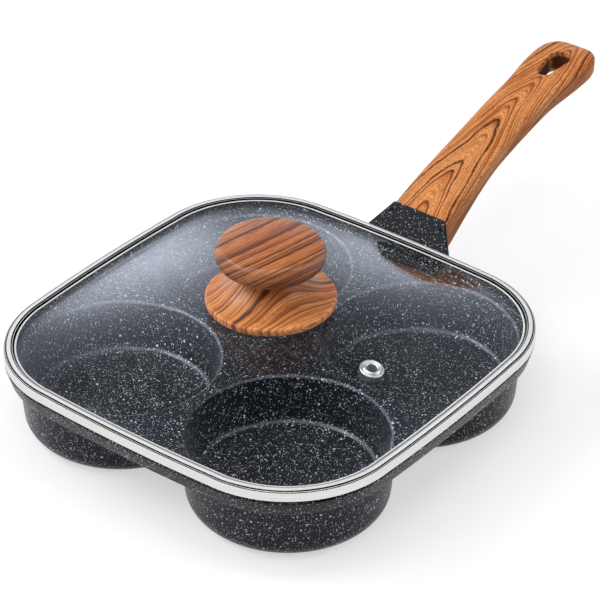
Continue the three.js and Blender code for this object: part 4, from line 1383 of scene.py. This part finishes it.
@dataclass
class Lid:
    """The domed glass, its steel band and its vent eyelet."""

    plan: RimPlan
    seat: float = 34.7 * MM
    sheet: float = 0.2 * MM
    overhang: float = 0.6 * MM
    shoulder: float = 0.3 * MM
    roll: float = 0.55 * MM
    crease_inset: float = 1.0 * MM
    flange: float = 3.0 * MM
    band_height: float = 4.8 * MM
    seat_round: float = 0.7 * MM
    lip_inset: float = 4.9 * MM
    lip_depth: float = 2.9 * MM
    lip_round: float = 0.3 * MM
    glass_foot: float = 0.8 * MM
    glass_thickness: float = 3.2 * MM
    glass_inset: float = 2.0 * MM
    glass_round: float = 0.6 * MM
    flat_edge: float = 4.6 * MM
    dome_rise: float = 15.4 * MM
    dome_power: float = 1.2
    dome_inset: float = 0.02 * MM
    dome_rings: int = 26
    dome_tip: float = 0.04
    knob_hole: float = 2.3 * MM
    vent_hole: float = 3.2 * MM
    drill: float = 20.0 * MM
    vent_radius: float = 56.6 * MM
    vent_angle: float = math.radians(-5.3)
    eyelet_radius: float = 5.1 * MM
    eyelet_bore: float = 2.3 * MM
    eyelet_wall: float = 0.6 * MM
    eyelet_lift: float = 0.3 * MM
    eyelet_roll: float = 0.45 * MM
    eyelet_bead: float = 0.75 * MM
    eyelet_flare: float = 0.9 * MM

    def rise(self, share: float) -> float:
        """Gives the dome's height at a share of the way from its middle to the margin."""
        return self.dome_rise * max(0.0, 1 - share * share) ** self.dome_power

    def dome_half(self) -> float:
        """Gives half of the dome's width between the flat margins."""
        return self.plan.half_width - self.glass_inset - self.flat_edge

    def band(self, finishes: Finishes) -> None:
        """Builds the folded steel band round the glass."""
        bottom = self.seat + self.seat_round
        crease = self.seat + self.band_height
        piece = self.plan.start("lid_band.channel", self.overhang, bottom)
        roll_at = self.overhang - self.shoulder - self.roll
        section = [(self.overhang, bottom), *arc(roll_at, crease - self.roll, self.roll, 0.0, SQUARE, 5)]
        inner = -self.crease_inset - self.flange
        fold = [(3.72, 0.0), (3.62, -0.28), (3.06, 0.28), (1.5, 0.28), (0.9, -0.04), (0.72, -0.04)]
        fold += [(-0.1, -0.52), (-0.2, -0.54), (-0.9, -0.64), (-1.0, -0.74)]
        section += [(inner + out * MM, crease + lift * MM) for out, lift in fold]
        self.plan.follow(section)
        bpy.ops.mesh.delete(type="FACE")
        Bench.pick_level(piece, Pick.FACES, bottom)
        turn = ((0.06, 0.35), (0.3, 0.1), (0.7, 0.0))
        under = [(self.overhang - inset * MM, self.seat + lift * MM) for inset, lift in turn]
        under += [(self.lip_round - self.lip_inset, self.seat), (-self.lip_inset, self.seat - self.lip_round)]
        self.plan.follow([(self.overhang, bottom), *under], -1)
        Bench.pull((0, 0, self.lip_round - self.lip_depth))
        bpy.ops.mesh.delete(type="FACE")
        Bench.close_seams()
        Bench.modify(piece, "SOLIDIFY", thickness=self.sheet, offset=-1.0, use_even_offset=True)
        Bench.smooth(piece, 20)
        bright, dull = (0.84, 0.825, 0.8, 1), (0.79, 0.775, 0.75, 1)
        # Below this height the band's crease groove gets painted shade.
        brushing, crease_shade_below = (0.03, 0.03, 1.2), crease + 0.25 * MM
        steel = finishes.hard("band_steel", bright, dull, 1.0, 0.22, 0.28, brushing, crease_shade_below)
        Bench.place(piece, Body.LID, ["lid_band"], "band_steel", steel)

    def dome(self, piece: Piece, foot: float) -> None:
        """Draws the selected margin up into the dome.

        Args:
            piece: The glass, open in edit mode, with the flat inside its margin selected.
            foot: Height of that margin.
        """
        mesh = bmesh.from_edit_mesh(piece.data)
        centre = Vector((0, self.plan.centre_y))
        radii = [(v.co.xy - centre).length for v in mesh.verts if v.select]
        mean, half = sum(radii) / len(radii), self.dome_half()
        shares = [1 - i / self.dome_rings for i in range(1, self.dome_rings - 1)] + [self.dome_tip]
        before_scale, before_share, height = 1.0, 1.0, foot
        for share in shares:
            square = share * share
            scale = half * share / (mean * (1 - square) + half * square)
            bpy.ops.mesh.inset(thickness=self.dome_inset, depth=0.0, use_even_offset=True)
            grow = scale / before_scale * (1 + self.dome_inset / (half * before_scale))
            Bench.scale((grow, grow, 1), (0, self.plan.centre_y, height))
            bpy.ops.transform.tosphere(value=1 - (share / before_share) ** 2)
            wanted = foot + self.rise(share)
            Bench.move((0, 0, wanted - height))
            before_scale, before_share, height = scale, share, wanted

    def glass(self, finishes: Finishes) -> None:
        """Builds the domed glass, with its holes for the knob and the vent."""
        foot = self.seat + self.glass_foot
        top = foot + self.glass_thickness
        edge, margin = -self.glass_inset, -self.glass_inset - self.flat_edge
        soft = self.glass_round
        piece = self.plan.start("lid_glass.dome", edge, foot + soft)
        Bench.pull((0, 0, self.glass_thickness - 2 * soft))
        self.plan.follow([*arc(edge - soft, top - soft, soft, 0, SQUARE, 4), (margin, top)])
        self.dome(piece, top)
        Bench.pick_level(piece, Pick.FACES, foot + soft)
        self.plan.follow([*arc(edge - soft, foot + soft, soft, 0, -SQUARE, 4), (margin, foot)], -1)
        self.dome(piece, foot)
        Bench.close_seams()
        for place, radius in ((self.knob_axis(), self.knob_hole), (self.vent_axis(), self.vent_hole)):
            Bench.cut(piece, Bench.bar("glass_hole", radius, self.drill, place))
        Bench.smooth(piece)
        Bench.place(piece, Body.LID, ["lid_glass"], "lid_glass", finishes.glass())

    def knob_axis(self) -> Matrix:
        """Gives the frame of the knob's hole in the glass."""
        return Matrix.Translation((0, self.plan.centre_y, self.seat + self.dome_rise))

    def vent_axis(self) -> Matrix:
        """Gives the frame of the vent, square to the dome."""
        share, step = self.vent_radius / self.dome_half(), 0.01
        slope = (self.rise(share + step) - self.rise(share - step)) / (2 * step * self.dome_half())
        height = self.seat + self.glass_foot + self.glass_thickness + self.rise(share)
        return (
            Matrix.Translation((0, self.plan.centre_y, 0))
            @ Matrix.Rotation(self.vent_angle, 4, "Z")
            @ Matrix.Translation((self.vent_radius, 0, height))
            @ Matrix.Rotation(-math.atan(slope), 4, "Y")
        )

    def eyelet(self, finishes: Finishes) -> None:
        """Turns the rolled steel eyelet and sets it square to the dome."""
        foot, rim, bore = self.eyelet_lift, self.eyelet_radius, self.eyelet_bore
        roll, round_bead = self.eyelet_roll, self.eyelet_bead
        barrel = bore + self.eyelet_wall
        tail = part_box("vent_eyelet")[0][2] - self.vent_axis().translation.z + self.eyelet_flare
        bead = arc((bore + rim) / 2 - round_bead, foot + 0.55 * MM, round_bead, 0.25, math.pi, 10)
        profile = [(barrel, tail), (barrel, foot), (rim - 0.4 * MM, foot)]
        profile += arc(rim - roll, foot + roll, roll, -SQUARE, SQUARE, 8)
        valley = ((0.5, 0.86), (0.12, 0.62))
        profile += [(bead[0][0] + out * MM, foot + lift * MM) for out, lift in valley]
        profile += [*bead, (bore, foot), (bore, tail), (barrel, tail)]
        piece = Bench.lathe("vent_eyelet.ring", profile, 0, 0, 72)
        Bench.clear()
        piece.data.transform(self.vent_axis())
        Bench.smooth(piece)
        bright, dull = (0.88, 0.88, 0.87, 1), (0.8, 0.8, 0.79, 1)
        steel = finishes.hard("eyelet_steel", bright, dull, 1.0, 0.3, 0.42, (2, 2, 2))
        Bench.place(piece, Body.LID, ["vent_eyelet"], "band_steel", steel)

    def build(self, finishes: Finishes) -> None:
        """Builds the three pieces."""
        self.glass(finishes)
        self.band(finishes)
        self.eyelet(finishes)


@dataclass
class Knob:
    """The knob's flared skirt and its cushion-shaped grip."""

    plan: RimPlan
    foot: float = 55.28 * MM
    bore: float = 2.3 * MM
    skirt_radius: float = 27.5 * MM
    skirt_height: float = 13.5 * MM
    skirt_hollow: float = 1.7
    flare_steps: int = 16
    crown_steps: int = 12
    neck: float = 8.6 * MM
    grip_foot: float = 69.08 * MM
    grip_radius: float = 23.0 * MM
    cushion: float = 5.5 * MM
    cushion_start: float = -0.86
    cushion_span: float = 1.7
    cushion_sink: float = 0.7
    waist: float = 76.68 * MM
    pocket: float = 4.3 * MM
    pocket_top: float = 80.68 * MM
    crown: float = 1.6 * MM

    def skirt_profile(self) -> list[Point]:
        """Gives the skirt's section, from its bore round under the rim and up to the neck."""
        low, rim = self.foot, self.skirt_radius
        under = ((11, 0), (12, 3), (22, 3), (24, -0.6))
        profile = [(self.bore, low), *((out * MM, low + lift * MM) for out, lift in under)]
        profile += arc(rim - 1.6 * MM, low + 1.0 * MM, 1.6 * MM, -SQUARE, 0.0, 6)
        profile += arc(rim - 1.5 * MM, low + 1.9 * MM, 1.5 * MM, 0.0, 1.15, 5)
        start_r, start_z = profile[-1]
        end_z = low + self.skirt_height
        for step in range(1, self.flare_steps + 1):
            share = step / self.flare_steps
            radius = start_r + (self.neck - start_r) * share
            profile.append((radius, start_z + (end_z - start_z) * share**self.skirt_hollow))
        return [*profile, (self.bore, end_z), (self.bore, low)]

    def grip_profile(self) -> list[Point]:
        """Gives the grip's section, from its pocket round the neck to the top."""
        foot, half = self.grip_foot, self.cushion
        roof = self.pocket_top
        profile = [(0, roof), (self.pocket, roof), (self.pocket, foot), (self.neck, foot)]
        stem = ((7.7, 0.9), (7.4, 1.8), (7.8, 2.9), (9.2, 4.2), (12.0, 5.2), (15.6, 5.9))
        profile += [(out * MM, foot + lift * MM) for out, lift in stem]
        for step in range(self.flare_steps + 1):
            share = self.cushion_start + self.cushion_span * step / self.flare_steps
            radius = self.grip_radius - half * (1 - math.sqrt(1 - share * share))
            profile.append((radius, self.waist + half * (1 + share) - self.cushion_sink * half))
        start_r, start_z = profile[-1]
        top = self.waist + half * (2 - self.cushion_sink) + self.crown
        for step in range(1, self.crown_steps + 1):
            share = step / self.crown_steps
            profile.append((start_r * (1 - share), start_z + (top - start_z) * (1 - (1 - share) ** 2)))
        return profile

    def build(self, finishes: Finishes) -> None:
        """Turns both pieces and dresses them."""
        # The skirt's palette is painted lighter than the grip's, to make up for the shade the grip casts on
        # it.
        skirt_lightened_palette = (tint(252, 166, 92), tint(206, 114, 54), tint(72, 30, 14))
        deep = (tint(208, 126, 66), tint(134, 68, 36), tint(46, 20, 12))
        for node, profile, turn, lean, palette in (
            ("knob_skirt", self.skirt_profile(), -14.0, 0.2, skirt_lightened_palette),
            ("knob_grip", self.grip_profile(), -10.0, -1.2, deep),
        ):
            piece = Bench.lathe(f"{node}.turned", profile, 0, self.plan.centre_y, 96)
            Bench.smooth(piece, 50)
            wood = finishes.knob_wood(f"{node}_figure", turn, lean, palette)
            Bench.place(piece, Body.LID, [node], "knob_wood_look", wood)


@dataclass
class SmallParts:
    """The screws, washers, gaskets and insert, which keep their own solids."""

    marks: tuple[float, float, float] = (2.2, 2.2, 2.2)

    def build(self, finishes: Finishes) -> None:
        """Dresses each of them."""
        bright, dull = (0.72, 0.73, 0.74, 1), (0.5, 0.51, 0.53, 1)
        zinc = finishes.hard("screw_zinc", bright, dull, 1.0, 0.22, 0.42, self.marks)
        bright, dull = tint(214, 176, 96), tint(170, 130, 66)
        brass = finishes.hard("insert_brass", bright, dull, 1.0, 0.2, 0.4, self.marks)
        rubber = finishes.hard(
            "gasket_rubber", tint(58, 58, 60), tint(76, 76, 78), 0.0, 0.5, 0.7, self.marks
        )
        dressed = {
            "handle_screw": zinc,
            "handle_spring_washer": zinc,
            "knob_screw": zinc,
            "knob_screw_washer": zinc,
            "knob_insert": brass,
            "knob_gasket_upper": rubber,
            "knob_gasket_lower": rubber,
            "vent_washer": rubber,
        }
        for name, finish in dressed.items():
            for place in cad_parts[name].material_slots:
                place.material = finish
            LOG.info("%s: keeps its solid", name)


@dataclass(frozen=True)
class Lamp:
    """One soft lamp, by its bearing and climb in degrees as seen from the pan."""

    name: str
    bearing: float
    climb: float
    reach: float
    size: Point
    power: float

    def hang(self, aim: Vector) -> None:
        """Hangs the lamp so that it looks at a place."""
        turn, climb = math.radians(self.bearing), math.radians(self.climb)
        level = self.reach * math.cos(climb)
        height = self.reach * math.sin(climb)
        place = aim + Vector((level * math.cos(turn), level * math.sin(turn), height))
        Bench.clear()
        bpy.ops.object.light_add(type="AREA", location=place)
        lamp = bpy.context.object
        lamp.name = self.name
        lamp.data.shape = "RECTANGLE"
        lamp.data.size, lamp.data.size_y = self.size
        lamp.data.energy = self.power
        lamp.rotation_euler = (aim - place).to_track_quat("-Z", "Y").to_euler()


@dataclass
class Studio:
    """Floor, light and camera."""

    target: tuple[float, float, float] = (-4.94 * MM, -40.17 * MM, 39.5 * MM)
    eye: tuple[float, float, float] = (593.9 * MM, -799.2 * MM, 676.1 * MM)
    lens: float = 163.3
    sensor: float = 36.0
    shift: float = -0.0015
    floor_size: float = 12.0
    floor_drop: float = 0.2 * MM
    lit: tuple[float, float, float] = (0, -0.05, 0.03)
    lamps: tuple[Lamp, ...] = (
        Lamp("top", 128.0, 88.0, 1.3, (1.3, 0.3), 6.0),
        Lamp("left", 217.0, 46.0, 1.4, (1.3, 0.22), 10.0),
        Lamp("right", 35.0, 34.0, 1.4, (0.7, 0.5), 3.6),
        Lamp("front", -62.0, 54.0, 1.5, (0.7, 0.7), 4.6),
    )

    def camera(self) -> None:
        """Sets the camera at the photograph's angle."""
        Bench.clear()
        bpy.ops.object.camera_add(location=self.eye)
        camera = bpy.context.object
        camera.rotation_euler = (Vector(self.target) - Vector(self.eye)).to_track_quat("-Z", "Y").to_euler()
        camera.data.lens = self.lens
        camera.data.sensor_width = self.sensor
        camera.data.shift_x = self.shift
        bpy.context.scene.camera = camera

    def floor(self) -> None:
        """Lays a white floor that keeps the pan's shadow."""
        Bench.clear()
        bpy.ops.mesh.primitive_plane_add(size=self.floor_size, location=(0, 0, -self.floor_drop))
        floor = bpy.context.object
        floor.name = "floor"
        paint = Paint("white_floor", Base_Color=(0.5, 0.5, 0.5, 1), Roughness=1.0, Specular_IOR_Level=0.0)
        sheet = paint.sheet
        path = sheet.node("ShaderNodeLightPath")
        glossy, camera, through = (
            sheet.wire(path, f"Is {kind} Ray") for kind in ("Glossy", "Camera", "Transmission")
        )
        seen = camera.larger((glossy * 0.75).larger(through))
        glow = sheet.node("ShaderNodeEmission", {"Color": (1, 1, 1, 1), "Strength": seen * 0.56})
        both = {0: sheet.wire(paint.shader), 1: sheet.wire(glow)}
        floor.data.materials.append(paint.surface(sheet.node("ShaderNodeAddShader", both)))

    def sky(self) -> None:
        """Makes the plain world, darker where the glass would mirror it towards the camera."""
        world = bpy.context.scene.world or bpy.data.worlds.new("studio")
        bpy.context.scene.world = world
        world.use_nodes = True
        sheet = NodeSheet(world.node_tree)
        x, y, height = sheet.wire(sheet.node("ShaderNodeTexCoord"), "Generated").split()
        back, right = (x * east + y * north for east, north in ((-0.62, 0.785), (0.785, 0.62)))
        side = (right.of("ABSOLUTE") - 0.05).larger(0.0)
        lobes = (side * (6.0 - right * 14.0)).smaller(1.05) + 0.55
        lobes = height.span(0.05, 0.14, 1.25, side.span(0.35, 0.7, lobes, 1.0))
        horizon = back.span(-0.8, 0.5, 0.35, 1.0) * lobes
        fall = ((height * -3.0).of("EXPONENT") * 2.0).smaller(1.2) * height.span(0.64, 0.84, 1.0, 0.1)
        background = world.node_tree.nodes["Background"]
        background.inputs["Color"].default_value = (0.84, 0.92, 1.08, 1)
        sheet.feed(background.inputs["Strength"], fall * horizon + 0.02)

    def build(self) -> None:
        """Sets the camera, floor, lamps and sky, and the plain view of colours."""
        self.camera()
        self.floor()
        for lamp in self.lamps:
            lamp.hang(Vector(self.lit))
        self.sky()
        bpy.context.scene.view_settings.view_transform = "Standard"


def main() -> None:
    """Builds the studio and every sub-assembly in order."""
    logging.basicConfig(level=logging.INFO, format="%(name)s: %(message)s")
    low, high = (Vector(corner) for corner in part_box("lid_band"))
    middle = (low + high) / 2
    plan = RimPlan(centre_y=middle.y)
    finishes = Finishes(middle)
    Studio().build()
    for assembly in (PanCasting(plan), Handle(plan), Lid(plan), Knob(plan), SmallParts()):
        assembly.build(finishes)


if __name__ == "__main__":
    main()
